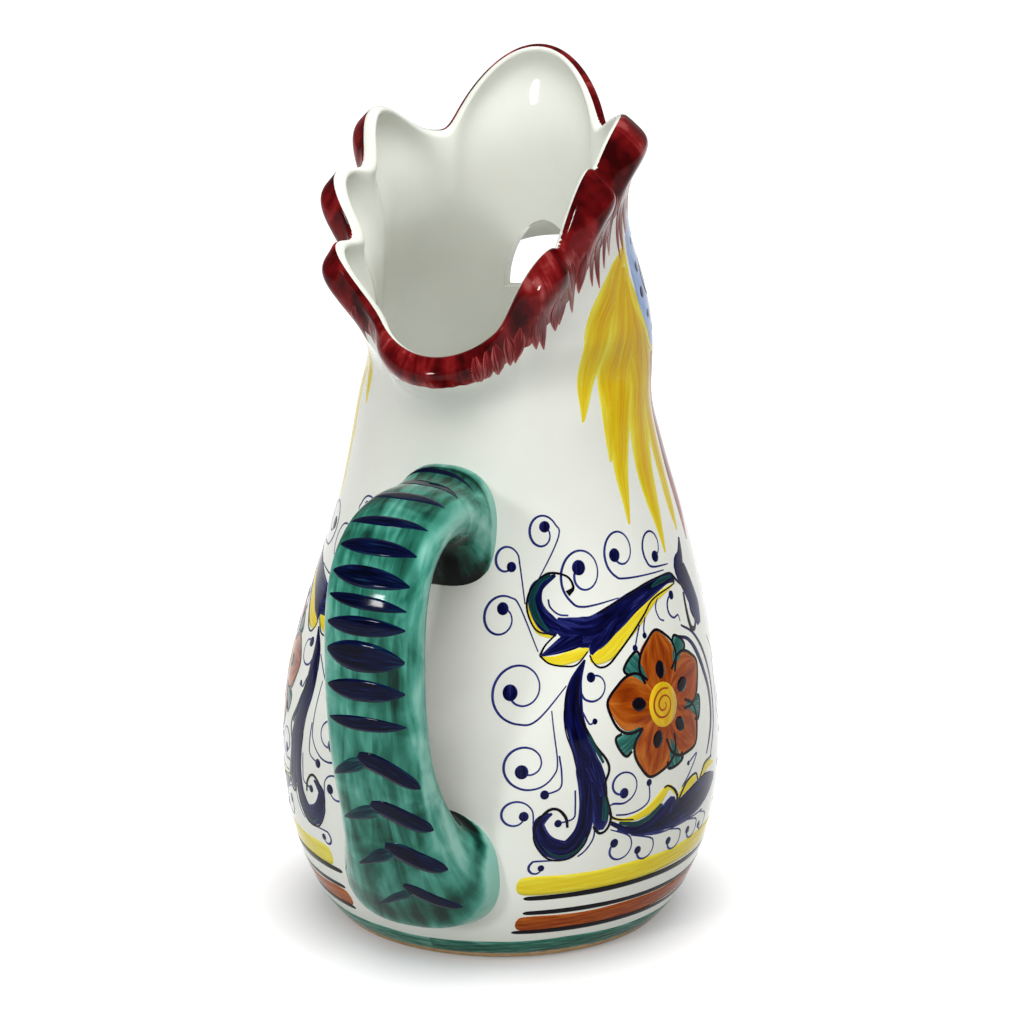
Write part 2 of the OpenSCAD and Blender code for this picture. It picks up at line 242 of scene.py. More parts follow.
# Finishes
GLOSS, MATT, TABLE_MATT = 0.08, 0.8, 0.9
WHITE_SHEEN, COLOUR_SHEEN, BRUSH_SHEEN, TABLE_SHEEN = 0.15, 0.1, 0.08, 0.5
RELIEF = 0.001


def srgb(*c):
    """Linear colour from the 0 to 255 values that a colour card gives."""
    return tuple((v / 255 / 12.92) if v <= 10 else ((v / 255 + 0.055) / 1.055) ** 2.4 for v in c)


def add_node(tree, kind, inputs, output=0, **settings):
    """Output of a new node, whose inputs are values or other nodes' outputs."""
    node = tree.nodes.new(kind)
    for key, value in settings.items():
        setattr(node, key, value)
    for key, value in inputs.items():
        if isinstance(value, bpy.types.NodeSocket):
            tree.links.new(value, node.inputs[key])
        else:
            node.inputs[key].default_value = value
    return node.outputs[output]


class Finish:
    """A material in the making, with short ways to add to it."""

    def __init__(self, name, roughness, sheen):
        self.material = bpy.data.materials.new(name)
        self.material.use_nodes = True
        self.tree = self.material.node_tree
        self.shader = self.tree.nodes["Principled BSDF"]
        self.shader.inputs["Roughness"].default_value = roughness
        self.shader.inputs["Specular IOR Level"].default_value = sheen

    def do(self, operation, *values):
        return add_node(self.tree, "ShaderNodeMath", dict(enumerate(values)), operation=operation)

    def read(self, key):
        return add_node(self.tree, "ShaderNodeAttribute", {}, "Fac", attribute_name=key)

    def where(self):
        return add_node(self.tree, "ShaderNodeTexCoord", {}, "Object")

    def combine(self, *values):
        return add_node(self.tree, "ShaderNodeCombineXYZ", dict(enumerate(values)))

    def noise(self, where, scale, detail=3.0, distortion=0.0):
        inputs = {"Vector": where, "Scale": scale, "Detail": detail, "Distortion": distortion}
        return add_node(self.tree, "ShaderNodeTexNoise", inputs, "Fac")

    def colour(self, tone, stops):
        """Colours along a tone; each stop is its place and its red, green and blue."""
        node = self.tree.nodes.new("ShaderNodeValToRGB")
        band = node.color_ramp
        while len(band.elements) < len(stops):
            band.elements.new(0.5)
        for element, (at, *card) in zip(band.elements, stops):
            element.position = at
            element.color = (*srgb(*card), 1)
        self.tree.links.new(tone, node.inputs["Fac"])
        self.tree.links.new(node.outputs["Color"], self.shader.inputs["Base Color"])
        return self.material


def glaze(name, stops, scale, wave=60.0, depth=0.25, roughness=GLOSS):
    """Glossy glaze whose colour pools and thins, over the gentle waves that a hand leaves."""
    coat = Finish(name, roughness, WHITE_SHEEN)
    at = coat.where()
    waves = {"Strength": depth, "Distance": RELIEF, "Height": coat.noise(at, wave, 2)}
    normal = add_node(coat.tree, "ShaderNodeBump", waves, "Normal")
    coat.tree.links.new(normal, coat.shader.inputs["Normal"])
    return coat.colour(coat.noise(at, scale, 5, 0.4), stops)


WHITE = glaze("white_tin_glaze", [(0.3, 226, 228, 218), (0.7, 238, 240, 232)], 18, depth=0.2)
YELLOW = glaze("beak_yellow_glaze", [(0.3, 206, 150, 24), (0.7, 232, 196, 50)], 80)
CLAY = glaze("bare_clay", [(0.3, 196, 158, 112), (0.7, 218, 184, 140)], 400, 900, 0.3, MATT)


def comb_red():
    """Crimson glaze brushed down from the edge, thin and pinkish at its lower end."""
    coat = Finish("crimson_comb_glaze", GLOSS, COLOUR_SHEEN)
    do = coat.do
    depth = coat.read("depth")
    brushed = coat.combine(do("MULTIPLY", coat.read("around"), 0.36), do("MULTIPLY", depth, 0.8))
    streak = do("MULTIPLY", coat.noise(brushed, 1.0, 4, 0.5), 0.65)
    pool = do("MULTIPLY", coat.noise(coat.where(), 110), 0.8)
    lower = do("MULTIPLY", do("POWER", depth, 3), 0.2)
    tone = do("ADD", do("ADD", streak, pool), do("SUBTRACT", lower, 0.23))
    return coat.colour(tone, [(0.34, 48, 1, 2), (0.48, 90, 6, 9), (0.6, 122, 24, 26), (0.78, 176, 90, 88)])


def strap_green():
    """Copper green streaked along the strap, pale where it breaks at an edge, painted shade in the arch and
    by the joins.
    """
    coat = Finish("watery_green_glaze", GLOSS, COLOUR_SHEEN)
    do = coat.do
    across, along, outer, root = (coat.read(key) for key in ("across", "along", "outer", "root"))
    brushed = coat.combine(do("MULTIPLY", across, 3.0), do("MULTIPLY", along, 5.0), outer)
    streak = do("MULTIPLY", do("SUBTRACT", coat.noise(brushed, 1.1, 3, 0.9), 0.5), 0.7)
    cloud = do("MULTIPLY", do("SUBTRACT", coat.noise(coat.where(), 70, 3, 0.8), 0.5), 0.55)
    pale = do("MULTIPLY", do("POWER", do("ABSOLUTE", across), 5), 0.27)
    pale = do("ADD", pale, do("MULTIPLY", do("POWER", root, 3), 0.36))
    # Painted shade: darker just off each join and on the strap's inner face under the arch, where shade
    # falls.
    join_shade = do("MULTIPLY", do("MULTIPLY", root, do("SUBTRACT", 1.0, root)), 0.55)
    arch = do("MULTIPLY", do("POWER", do("MAXIMUM", do("MULTIPLY", outer, -1.0), 0.0), 0.6), 0.3)
    dark = do("MULTIPLY", do("ADD", join_shade, arch), do("SUBTRACT", 1.0, do("POWER", root, 3)))
    tone = do("SUBTRACT", do("ADD", do("ADD", do("ADD", streak, cloud), 0.52), pale), dark)
    return coat.colour(tone, [(0.24, 4, 14, 12), (0.4, 14, 56, 46), (0.52, 36, 104, 86),
                              (0.66, 74, 150, 132), (0.84, 140, 196, 180)])


RED, GREEN = comb_red(), strap_green()

# Walls: each cut runs up the outside, over the edge and down the inside
ANGLES = np.arange(0, 360, 1.0)
RIMS = rim(ANGLES)


def heights(low, high, count):
    """Rows between two heights, with a close pair at each seam."""
    t = np.concatenate([[0, 0.004], np.linspace(0, 1, count + 1)[1:-1], [0.996, 1]])
    return mix(np.asarray(low)[..., None], np.asarray(high)[..., None], t)


def wall_cut(angles, rims, low, high, count, inner_count, inset_low, inset_high):
    a, r = angles[:, None], rims[:, :, None]
    out_z = heights(low, high, count) + 0 * a
    in_z = (heights(low, high, inner_count) + 0 * a)[:, ::-1]
    share = (in_z - in_z[:, -1:]) / (in_z[:, :1] - in_z[:, -1:])
    inset = mix(inset_low, inset_high, share)
    return np.concatenate([wall_point(a, out_z, 0, r), wall_point(a, in_z, inset, r)], 1)


def revolved(profile):
    p = np.asarray(profile, float)
    t = np.radians(ANGLES)[:, None]
    return np.stack([p[:, 0] * np.sin(t), -p[:, 0] * np.cos(t), p[:, 1] + 0 * t], -1)


def foot_profile():
    z = np.linspace(0.9, FOOT_H, 9)
    edge = [(FOOT_R - 1.1, 0), (FOOT_R - 0.55, 0.12), (FOOT_R - 0.1, 0.45)]
    inner = [(FLOOR_R, FOOT_H), (FLOOR_R, 0.6), (FLOOR_R + 0.2, 0.17), (FLOOR_R + 0.6, 0)]
    return inner + edge + [(float(r), float(h)) for r, h in zip(body_r(z), z)]


def belly_profile():
    out_z = heights(FOOT_H, SEAM_Z, 60)
    in_z = heights(FLOOR_Z, SEAM_Z, 36)[::-1]
    return ([(float(r), float(z)) for r, z in zip(body_r(out_z), out_z)]
            + [(float(r) - WALL, float(z)) for r, z in zip(body_r(in_z), in_z)]
            + [(FLOOR_R, FLOOR_Z), (FLOOR_R, FOOT_H)])


foot = add_piece("turned_foot", *skin(revolved(foot_profile()), True), CLAY)
place(foot, "bare_clay", "foot_ring")
belly = add_piece("thrown_belly", *skin(revolved(belly_profile()), True), WHITE)
place(belly, "white_glaze", "belly_wall")
chest = add_piece("chest", *skin(wall_cut(ANGLES, RIMS, SEAM_Z, NECK_Z, 76, 40, WALL, WALL), True), WHITE)
place(chest, "white_glaze", "chest_wall")


def cut_gape(piece):
    """Arched opening behind the beak, cut straight back through the face."""
    t = np.radians(np.arange(0, 181, 4))
    x = GAPE_W * np.sign(np.cos(t)) * np.abs(np.cos(t)) ** 1.15
    edge = np.stack([x, SILL_Z + (ARCH_Z + GAPE_W + 1 - SILL_Z) * np.sin(t) ** 1.15], -1)
    ends = [np.stack([edge[:, 0], np.full(len(edge), y), edge[:, 1]], -1) for y in (GAPE_FRONT, GAPE_BACK)]
    n = len(edge)
    faces = [[i, (i + 1) % n, n + (i + 1) % n, n + i] for i in range(n)]
    faces += [list(range(n)), list(range(n, 2 * n))]
    cutter = add_piece("gape_cutter", np.concatenate(ends), faces, WHITE)
    cut = piece.modifiers.new("gape", "BOOLEAN")
    cut.operation, cut.object, cut.solver = "DIFFERENCE", cutter, "EXACT"
    settle(piece)
    piece.data.set_sharp_from_angle(angle=math.radians(FOLD))
    bpy.data.objects.remove(cutter)


neck_rows = np.full(len(ANGLES), NECK_Z)
head_cut = wall_cut(ANGLES, RIMS, neck_rows, comb_foot_z(RIMS), 40, 28, WALL, RIM_T)
head = add_piece("head", *skin(head_cut, True), WHITE)
cut_gape(head)
place(head, "white_glaze", "head_wall")


def comb_cut(angles):
    r = rim(angles)
    a, rr = angles[:, None], r[:, :, None]
    top = rim_z(r) - LIP_H
    out_z = heights(comb_foot_z(r), top, 22)
    lip = np.radians(np.arange(12, 180, 12))
    lip_z = top[:, None] + LIP_H * np.sin(lip)
    in_z = heights(comb_foot_z(r), top, 16)[:, ::-1]
    return np.concatenate([wall_point(a, out_z, 0, rr),
                           wall_point(a, lip_z, RIM_T * (1 - np.cos(lip)) / 2, rr),
                           wall_point(a, in_z, RIM_T, rr)], 1)


for name, node, low, high in (("crest_lobe", "crest", 0, 1), ("left_comb_lobes", "left_comb", 1, 4),
                              ("nape_roll", "nape_lip", 4, 5), ("right_comb_lobes", "right_comb", 5, 8)):
    span = np.arange(NOTCH_ANGLES[low], NOTCH_ANGLES[high] + 0.1, 1.0)
    lobes = add_piece(name, *skin(comb_cut(span), False), WHITE)
    place(lobes, "red_glaze", node)


# Beak

def face_y(x, z):
    a = np.zeros(np.shape(x))
    for _ in range(6):
        p = head_point(a, rim(a), z, 0)
        a = a + np.degrees(np.arcsin(np.clip((x - p[..., 0]) / NECK_R, -1, 1)))
    return head_point(a, rim(a), z, 0)[..., 1]


def beak(name, node, length, root_z, half_w, outer_h, inner_h, edge_z, edge_t):
    u = np.linspace(0, 1, 33)[:, None]
    t = np.radians(np.arange(0, 181, 7.5))[None]
    x = np.concatenate([half_w(u) * np.cos(t), (edge_t(u) - half_w(u)) * np.cos(t)], 1)
    z = np.concatenate([edge_z(u) + outer_h(u) * np.sin(t), edge_z(u) + inner_h(u) * np.sin(t)], 1)
    root = face_y(x, z) + 0.4
    tip = face_y(np.zeros(1), np.full(1, root_z))[0] - length
    points, faces = skin(np.stack([x, mix(root, tip, u), z], -1), False)
    piece = add_piece(name, points, faces, YELLOW, SOFT_FOLD)
    piece.data.materials.append(WHITE)
    columns = x.shape[1]
    for face in piece.data.polygons:
        inner = [v % columns >= columns // 2 for v in face.vertices]
        face.material_index = int(all(inner))
    place(piece, "yellow_glaze", node)


upper_w = math.sqrt(GAPE_W ** 2 - (UPPER_GAPE_Z - ARCH_Z) ** 2) + BEAK_T
upper_h = ARCH_Z + GAPE_W + BEAK_T - UPPER_GAPE_Z
lower_w = GAPE_W - LIP_T


def taper(root, tip):
    """Size that keeps near its root's and closes in towards the tip."""
    return lambda u: mix(root, tip, u ** 1.7)


def upper_t(u):
    return mix(BEAK_T, TIP_T, u)


beak("upper_beak_half", "upper_beak", UPPER_BEAK, UPPER_GAPE_Z,
     taper(upper_w, TIP_W), taper(upper_h, TIP_H),
     lambda u: taper(upper_h, TIP_H)(u) - upper_t(u), lambda u: UPPER_GAPE_Z - HOOK_DROP * u ** 3, upper_t)
beak("lower_beak_half", "lower_beak", LOWER_BEAK, SILL_Z,
     taper(lower_w, TIP_W), taper(-LIP_DEEP, -TIP_H),
     lambda u: -mix(LIP_T, 0, u) - LIP_T, lambda u: SILL_Z - LIP_DROP * u, lambda u: LIP_T + 0 * u)


# Handle

def wall_back_y(x, z):
    return body_y(z) + np.sqrt(np.square(body_r(z)) - np.square(x))


def strap_mid(t):
    up = curve(STRAP_UP, t)
    wall = mix(wall_back_y(0, LOWER_ROOT["z"]), wall_back_y(0, UPPER_ROOT["z"]), np.clip(up, 0, 1))
    out = mix(wall, STRAP_REACH, curve(STRAP_OUT, t))
    return np.stack([out, mix(LOWER_ROOT["z"], UPPER_ROOT["z"], up)], -1)


def strap_oval(angle):
    t = np.radians(angle)
    return [np.sign(v) * np.abs(v) ** 0.8 for v in (np.cos(t), np.sin(t))]


def strap_point(share, angle):
    """Point of the strap's skin at a share of its length and an angle round its oval."""
    t = np.clip(share, 0, 1)
    upper, lower = curve(UPPER_FLARE, t), curve(LOWER_FLARE, t)
    half_w = STRAP_W + (UPPER_ROOT["w"] - STRAP_W) * upper + (LOWER_ROOT["w"] - STRAP_W) * lower
    half_t = STRAP_T + (UPPER_ROOT["half"] - STRAP_T) * upper + (LOWER_ROOT["half"] - STRAP_T) * lower
    along = strap_mid(np.minimum(1, t + 0.015)) - strap_mid(np.maximum(0, t - 0.015))
    along /= np.linalg.norm(along, axis=-1, keepdims=True)
    face = np.stack([-along[..., 1], along[..., 0]], -1) * (1 - upper - lower)[..., None]
    face[..., 1] += upper - lower
    face /= np.linalg.norm(face, axis=-1, keepdims=True)
    across, through = strap_oval(angle)
    mid = strap_mid(t)
    return np.stack(np.broadcast_arrays(half_w * across, mid[..., 0] + half_t * through * face[..., 0],
                                        mid[..., 1] + half_t * through * face[..., 1]), -1)


OVAL = (np.arange(56) + 0.5) / 56 * 360


def root_cut(root, turn, share, sink):
    across, through = strap_oval(OVAL)
    x, z = share * root["w"] * across, root["z"] + turn * share * root["half"] * through
    return np.stack([x, wall_back_y(x, z) - sink, z], -1)[None]


ROOT_SHARES = (0.1, 0.4, 0.7, 1)
ROOT_SINK = 0.5
SPAN = np.linspace(0, 1, 151)[2:-2]
upper_end = [root_cut(UPPER_ROOT, 1, q, ROOT_SINK) for q in ROOT_SHARES] + [root_cut(UPPER_ROOT, 1, 1, 0)]
lower_end = [root_cut(LOWER_ROOT, -1, 1, 0)]
lower_end += [root_cut(LOWER_ROOT, -1, q, ROOT_SINK) for q in ROOT_SHARES[::-1]]
cuts = np.concatenate(upper_end + [strap_point(SPAN[:, None], OVAL[None])] + lower_end)
strap = add_piece("strap", *skin(cuts, False), GREEN)
row_share = np.concatenate([np.zeros(5), SPAN, np.ones(5)])[:, None]
oval_across, oval_through = strap_oval(OVAL)
root_edge = np.maximum(np.clip(1 - row_share / 0.05, 0, 1), np.clip(1 - (1 - row_share) / 0.07, 0, 1))
mark(strap.data, along=row_share + 0 * OVAL, across=oval_across + 0 * row_share,
     outer=oval_through + 0 * row_share, root=root_edge + 0 * OVAL)
place(strap, "green_glaze", "strap_handle")

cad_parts["floor_disc"].data.materials.clear()
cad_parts["floor_disc"].data.materials.append(WHITE)


# Painting. A stroke is a row of marks (around, height, half width): degrees round the wall from the handle
# towards the hen's right, then millimetres. On the strap the first two numbers of a mark are the share of its
# length and the angle round its oval.

# The heart of the flower on each side, and of the one on the breast
FLOWER, BREAST_FLOWER = (70, 72), (180, 72)
PETAL_ANGLES = (92, 167, 250, 312, 380)
LEAF_ANGLES = (129, 208, 281, 342, 416)

# Reach from the heart of the flower, half width
PETAL = ((3, 3.4), (7, 6.2), (11, 7.7), (14.5, 6.9), (17.3, 4.2), (19.6, 0.4))
FLOWER_LEAF = ((10, 1.5), (13, 2.6), (15.5, 3), (17.2, 3.3), (18, 2.4), (18.3, 0.4))
PETAL_DROP = ((6.9, 0.6), (8, 1.7), (9.4, 2), (10.7, 1.6), (11.7, 0.5))
HEART_R, HEART_SPIRAL = 6.0, (4.4, 60, 700)

SCROLLS = (
    ((36.5, 110, 0.4), (31, 107.5, 1.7), (30, 104, 1.9), (31, 101, 2.2), (33.5, 98, 2.7), (37, 96, 2)),
    ((83, 102, 1), (78, 103, 1.5), (70, 102, 2.2), (61.5, 100, 3), (54, 97, 3.8), (48, 95, 4.1),
     (43.5, 95, 4.2), (39, 96.5, 3), (36, 98, 1.6)),
    ((47, 95, 1.5), (44.5, 94.5, 2.8), (40, 93, 2.5), (36, 91.5, 1.6), (32, 90, 0.3)),
    ((56, 97.5, 1.5), (53.5, 96, 2.8), (50, 93, 2.5), (47.5, 91, 1.7), (46.5, 89, 0.4)),
    ((44.5, 88, 0.3), (42.7, 85, 1.2), (41.5, 82, 2), (41, 78, 2.6), (41.2, 73.5, 2.8), (42.6, 68, 3),
     (44.3, 62, 3.2), (46, 58, 3.2), (48, 53, 2), (48.5, 50, 0.5)),
    ((45, 64, 0.5), (46, 60, 2.4), (47, 55, 2.9), (47.5, 50, 2.7), (48, 46, 2.5), (48, 43.5, 2.2),
     (48, 41.5, 1)),
    ((43, 64, 0.5), (43.5, 60, 2.4), (44, 55, 2.4), (44, 49, 2.1), (43.5, 43.5, 2.4), (42, 40, 2.6),
     (39, 37, 2.9), (35, 38, 2.9), (32.5, 41, 2.3), (31.5, 45, 1.7), (33, 47, 1.2), (35, 48, 0.3)),
    ((51, 43, 0.6), (56, 40, 1), (61, 39, 2.1), (66, 40, 3.8), (70, 41, 4.3), (71.5, 44, 2.5),
     (72, 45.5, 1)),
    ((65, 38.5, 1.7), (72, 39.5, 3.4), (79, 40.5, 4.4), (87, 42, 4.8), (93, 42.5, 3.4),
     (97.5, 43, 1.2)),
    ((93, 111, 0.6), (90.5, 107, 1.7), (88, 104.5, 3.4), (90, 100.5, 3.7), (93, 95, 3.7),
     (94, 91.5, 4.1), (95, 87, 1.7)),
)
VINES = (
    ((80, 87.5, 0.4), (85, 85.5, 0.6), (89, 81.5, 0.9), (93, 75, 1), (96, 68, 1), (95, 60, 0.9),
     (90, 52, 0.4)),
    ((82, 90, 0.3), (89, 86, 0.5), (95, 79, 0.7), (99, 70, 0.7), (98, 60, 0.6), (93, 50, 0.3)),
)
YELLOW_LEAVES = (
    ((28, 103, 0.3), (29, 100, 0.8), (31, 96.5, 1.1), (34, 95, 0.9), (35.5, 94.5, 0.3)),
    ((32, 89.5, 0.4), (36, 88.5, 1.4), (40, 89, 1.8), (44, 90, 1.4), (46, 91.5, 0.4)),
    ((46, 88, 0.9), (49, 88, 2), (53, 90, 2.9), (58, 93, 2.5), (64, 96, 2), (69, 98.5, 1.3),
     (75, 100, 0.9), (82.5, 101, 0.3)),
    ((51, 44.5, 0.4), (55, 43, 0.6), (59, 43, 1), (63, 44, 1.4), (66.5, 46, 1.7), (69, 48, 1.4),
     (71, 48.5, 0.8), (73, 46, 0.4)),
    ((74.5, 43.5, 0.7), (76, 45.3, 1.4), (80, 46.7, 1.5), (83.5, 47.5, 0.8)),
    ((85, 46.5, 0.8), (88.5, 48, 1.4), (92, 48.5, 1.3), (96, 47.5, 0.6)),
)
TEAL_SHADES = (
    ((35, 110, 0.5), (31.5, 108.5, 0.8), (29.3, 105, 0.9), (29.5, 102, 1), (31, 99, 0.9),
     (34, 96, 0.4)),
    ((81.5, 103, 0.4), (76, 103.2, 0.8), (70.5, 102.5, 0.5)),
    ((43, 73.5, 0.2), (46, 67, 0.6), (49, 60.5, 0.4)),
    ((49, 51, 0.6), (49.5, 47, 1.1), (49, 44, 0.8)),
    ((32, 39.5, 0.2), (35, 36, 0.4), (38, 35, 0.45), (42, 36.5, 0.4), (44, 40, 0.2)),
    ((53.5, 42.5, 0.4), (59, 41, 0.8), (63.5, 42, 0.7), (67.5, 44.5, 0.5)),
)
DARK_LINES = (
    ((40, 105, 0.9), (42, 106.5, 0.4), (40, 109.5, 0.3), (34, 110.5, 0.35), (29, 107, 0.3),
     (27.5, 103, 0.3), (28.5, 99, 0.25), (31, 96, 0.25), (36, 95, 0.2)),
    ((36, 95, 0.25), (33, 92.5, 0.25), (31.5, 90, 0.35)),
    ((31.5, 90, 0.3), (34, 88, 0.25), (38, 87, 0.25), (42, 87, 0.25), (45.5, 90, 0.2)),
    ((46, 89, 0.25), (47, 87, 0.25), (49, 85.5, 0.3), (52, 86, 0.3), (56, 89, 0.3), (65.5, 96, 0.3),
     (71, 99.5, 0.25), (82.5, 101, 0.2)),
    ((49, 99, 0.25), (57, 101.3, 0.3), (67, 103.7, 0.3), (75, 104.3, 0.3), (81, 104, 0.3),
     (84, 101.5, 0.45), (89, 98, 0.35)),
    ((42, 84, 0.3), (42, 77.5, 0.3), (44, 71, 0.4), (47, 65.5, 0.35), (50, 61, 0.4), (50.5, 58, 0.4),
     (49, 54, 0.4), (49.8, 50, 0.4), (51, 45, 0.4), (50, 41.5, 0.4), (48, 40.5, 0.4), (46.5, 42, 0.45),
     (46, 43, 0.2)),
    ((39, 43.5, 0.35), (38.5, 46.5, 0.45), (36.5, 49, 0.4), (34, 49, 0.45), (31, 45.5, 0.35),
     (30.3, 41, 0.3), (32, 37, 0.3), (34.5, 34.5, 0.3), (38, 34, 0.3), (41, 35, 0.3), (44, 38.5, 0.25),
     (45, 43, 0.2)),
    ((39.6, 81, 0.2), (38.4, 75.5, 0.2), (38.9, 70, 0.2), (40.6, 64.5, 0.2), (42, 57, 0.15)),
    ((68.5, 49, 0.3), (70, 49.2, 0.3), (72.5, 47.5, 0.4), (74, 45, 0.5), (74, 43, 0.35),
     (78, 47.7, 0.4), (83, 48.8, 0.3), (84.8, 46, 0.35), (88.5, 49.7, 0.35), (94, 50, 0.3)),
    ((50.5, 47.5, 0.4), (51, 45, 0.35), (53.5, 43.5, 0.25), (58, 42.5, 0.2)),
    ((87, 97.5, 0.45), (87, 92, 0.65), (88, 88, 0.8), (90.5, 87, 0.65), (92, 89, 0.45),
     (90, 92.5, 0.35)),
)

# Curls: around and height of the middle, radius, angle where the spiral starts, degrees that it turns, and
# the place where its tail starts
CURLS = (
    (33, 121, 5.6, -10, 430, 31, 109), (21, 114, 4.4, -10, 330, 27, 103),
    (20, 99.5, 6.2, 30, 410, 31, 91), (26.5, 81.5, 9, -60, -470, 39, 82),
    (45.5, 109.5, 8.3, -95, -500, 57, 102), (60, 113.7, 7.2, -85, -440, 78, 105.5),
    (74.5, 112.5, 5.4, -110, -330, 81, 106.5), (79.5, 96, 3.6, -60, -210, 82, 91),
    (47, 81, 4.3, 190, 280, 41, 82), (28.5, 62, 8, 5, -490, 35, 76),
    (25.5, 47.8, 4.8, -15, 370, 30, 45.5), (31, 32, 2.2, 90, 270, 38, 34),
    (54.5, 53, 5.3, -120, 400, 50.5, 48), (54, 34.8, 4.3, 60, -290, 51, 41),
    (62.5, 32.4, 3.6, 60, -250, 57.5, 38), (74, 31.9, 3.4, 50, -240, 71, 36),
    (83, 32.2, 3.2, 50, -240, 80, 36), (90, 32, 2.8, 50, -220, 87, 36),
)

# Stems: radius of the dot at the end, then the places it runs through
STEMS = (
    (0, (34, 104), (34.5, 102), (37, 100), (40, 99.5)),
    (0, (46.5, 42), (46, 39), (44, 36), (42, 34.5)),
    (0, (53, 40.5), (59, 38), (67, 36), (77.5, 36), (89, 36)),
    (0, (73, 100), (71, 97), (72, 94), (74, 93)),
    (0.8, (66, 95.5), (65, 93), (65, 91)),
    (0.9, (63.5, 94), (62, 91), (61, 88.5)),
    (0.8, (42.5, 77), (44, 74), (45.5, 71.5), (47, 72)),
    (1.3, (37, 64), (37.5, 59), (37, 55), (33, 53.5)),
    (1.1, (41, 54), (41, 49), (40.5, 46), (36.5, 45)),
    (1, (52.5, 45), (56, 44.5), (60, 45), (63, 47), (63, 52)),
    (0.7, (76, 47), (79.5, 50), (83.5, 54.5), (79, 53)),
)
FEATHERS = (
    ((91.5, 193.5, 1.5), (80.5, 184, 5.5), (69, 176, 5.6), (63.5, 166, 4.4), (58, 157, 2.3),
     (54, 149.5, 0.4)),
    ((89, 189, 2), (83, 177, 6.5), (76.5, 164.5, 6.6), (69.5, 152, 4), (66, 144, 2.2),
     (63.5, 137.5, 0.4)),
    ((89, 185, 3), (87, 172, 7), (81, 159.5, 5.6), (73, 147.5, 4.3), (68.5, 137, 3.1), (67, 127, 1.5),
     (66, 120, 0.4)),
    ((89, 180.5, 2.5), (92, 166, 7.5), (92, 156, 7), (86, 145.5, 6), (82, 135, 4.6), (81, 124.5, 3.2),
     (81, 117, 1.7), (81, 109.5, 0.4)),
    ((96, 168.5, 1.5), (101, 159, 3.5), (98, 149.5, 3.5), (95, 139, 3.2), (94, 129, 2.7),
     (93, 120, 2.1), (93, 113, 0.5)),
)
LEFT_FEATHER_STEP, FEATHER_TOP, FEATHER_FADE = 6, 195, 40
CHEEK = ((113, 204, 0.8), (113, 202.5, 6), (113, 199.5, 10), (113, 196, 12), (113, 190, 13.2),
         (113, 182, 13.7), (113, 176, 12.5), (113, 171, 10), (113, 166, 7), (113, 161, 1))
CHEEK_EDGE = ((93, 196, 0.6), (92, 189, 0.7), (91, 183, 0.8), (92, 177, 0.8), (97, 171, 0.8),
              (102, 165, 0.7), (112, 160, 0.4))
CHEEK_DOTS = ((102.5, 187, 1.5), (101, 180, 1.6), (103.5, 173.5, 1.2), (109, 168.5, 1.1),
              (117, 170, 1.2), (124, 175, 1.3), (126, 183, 1.3), (124, 191, 1.3), (105, 194, 1.2),
              (113, 195.5, 1.2))
EYE, EYE_RADII = (114, 183), (6, 5.2, 3)
WATTLE = ((175, 165, 1.2), (171, 156, 4.2), (166, 147, 6.4), (164, 138, 6.8), (165, 130, 4.8),
          (167, 125, 0.6))
RED_FEATHERS = (
    ((106, 162, 1), (109, 150, 3.4), (106.5, 138, 3.8), (104, 127, 3.3), (103, 117, 2.7),
     (101, 108.5, 0.4)),
    ((120, 163, 1.2), (129, 151, 4.4), (129, 138, 4.4), (127, 126, 3), (126, 117, 0.4)),
)
BREAST_FEATHERS = (
    ((114, 160, 1.5), (119, 148, 4.8), (117.5, 136, 4.6), (115.5, 124, 3.2), (114, 114, 0.4)),
    ((128, 167, 1.2), (140, 156, 4.8), (142, 145, 4.4), (141, 136, 2.8), (140, 128, 0.4)),
)

# Bars across the strap: share of its length, half width, share by which the bar drops on its way across
BARS = ((0.045, 0.9, 0.03), (0.115, 2.3, 0.045), (0.207, 2.5, 0.012), (0.29, 2, 0.004), (0.346, 2.7, 0.006),
        (0.398, 3.1, 0.008), (0.44, 2, 0.008), (0.479, 2.8, 0), (0.527, 4.5, 0.004), (0.581, 3.3, 0),
        (0.632, 2.3, 0))

# Hooked bars: share of length, half width, angles round the oval at the tail's end, the bend and the far end
HOOKED_BARS = ((0.706, 3, 25, 78, 143), (0.788, 3.3, 35, 83, 145), (0.866, 3.3, 55, 88, 145),
               (0.932, 2.3, 68, 93, 137))


def smooth_path(marks, stretch=(1, 1), step=0.9):
    """Points on a soft curve through the marks; stretch turns their first two numbers into lengths."""
    p = np.asarray(marks, float)
    q = np.concatenate([[2 * p[0] - p[1]], p, [2 * p[-1] - p[-2]]])
    rows = []
    for a, b, c, d in zip(q, q[1:], q[2:], q[3:]):
        count = max(3, math.ceil(np.hypot(*((c - b)[:2] * stretch)) / step))
        t = np.arange(count)[:, None] / count
        rows.append(b + 0.5 * t * (c - a + t * (2 * a - 5 * b + 4 * c - d + t * (3 * b - a - 3 * c + d))))
    path = np.concatenate(rows + [p[-1:]])
    path[:, 2] = np.maximum(path[:, 2], 0.06)
    return path


def dot(around, height, radius):
    """Marks of a round dot, laid as one short stroke."""
    t = np.radians(np.linspace(-86, 86, 9))
    return np.stack([np.full(9, around), height + radius * np.sin(t), radius * np.cos(t)], -1)


def spiral(around, height, radius, start, sweep, thick=0.3):
    """Marks of a line that winds in towards a middle."""
    swept = np.linspace(0, sweep, max(5, round(abs(sweep) / 30)))
    t = np.radians(start + swept)
    wound = 0.7 * np.abs(swept) / 480 if abs(sweep) < 540 else 0.85 * np.abs(swept / sweep)
    reach = radius * (1 - wound)
    return np.stack([around + reach * np.cos(t), height + reach * np.sin(t),
                     thick * (0.75 + 0.5 * np.sin(t / 2) ** 2)], -1)


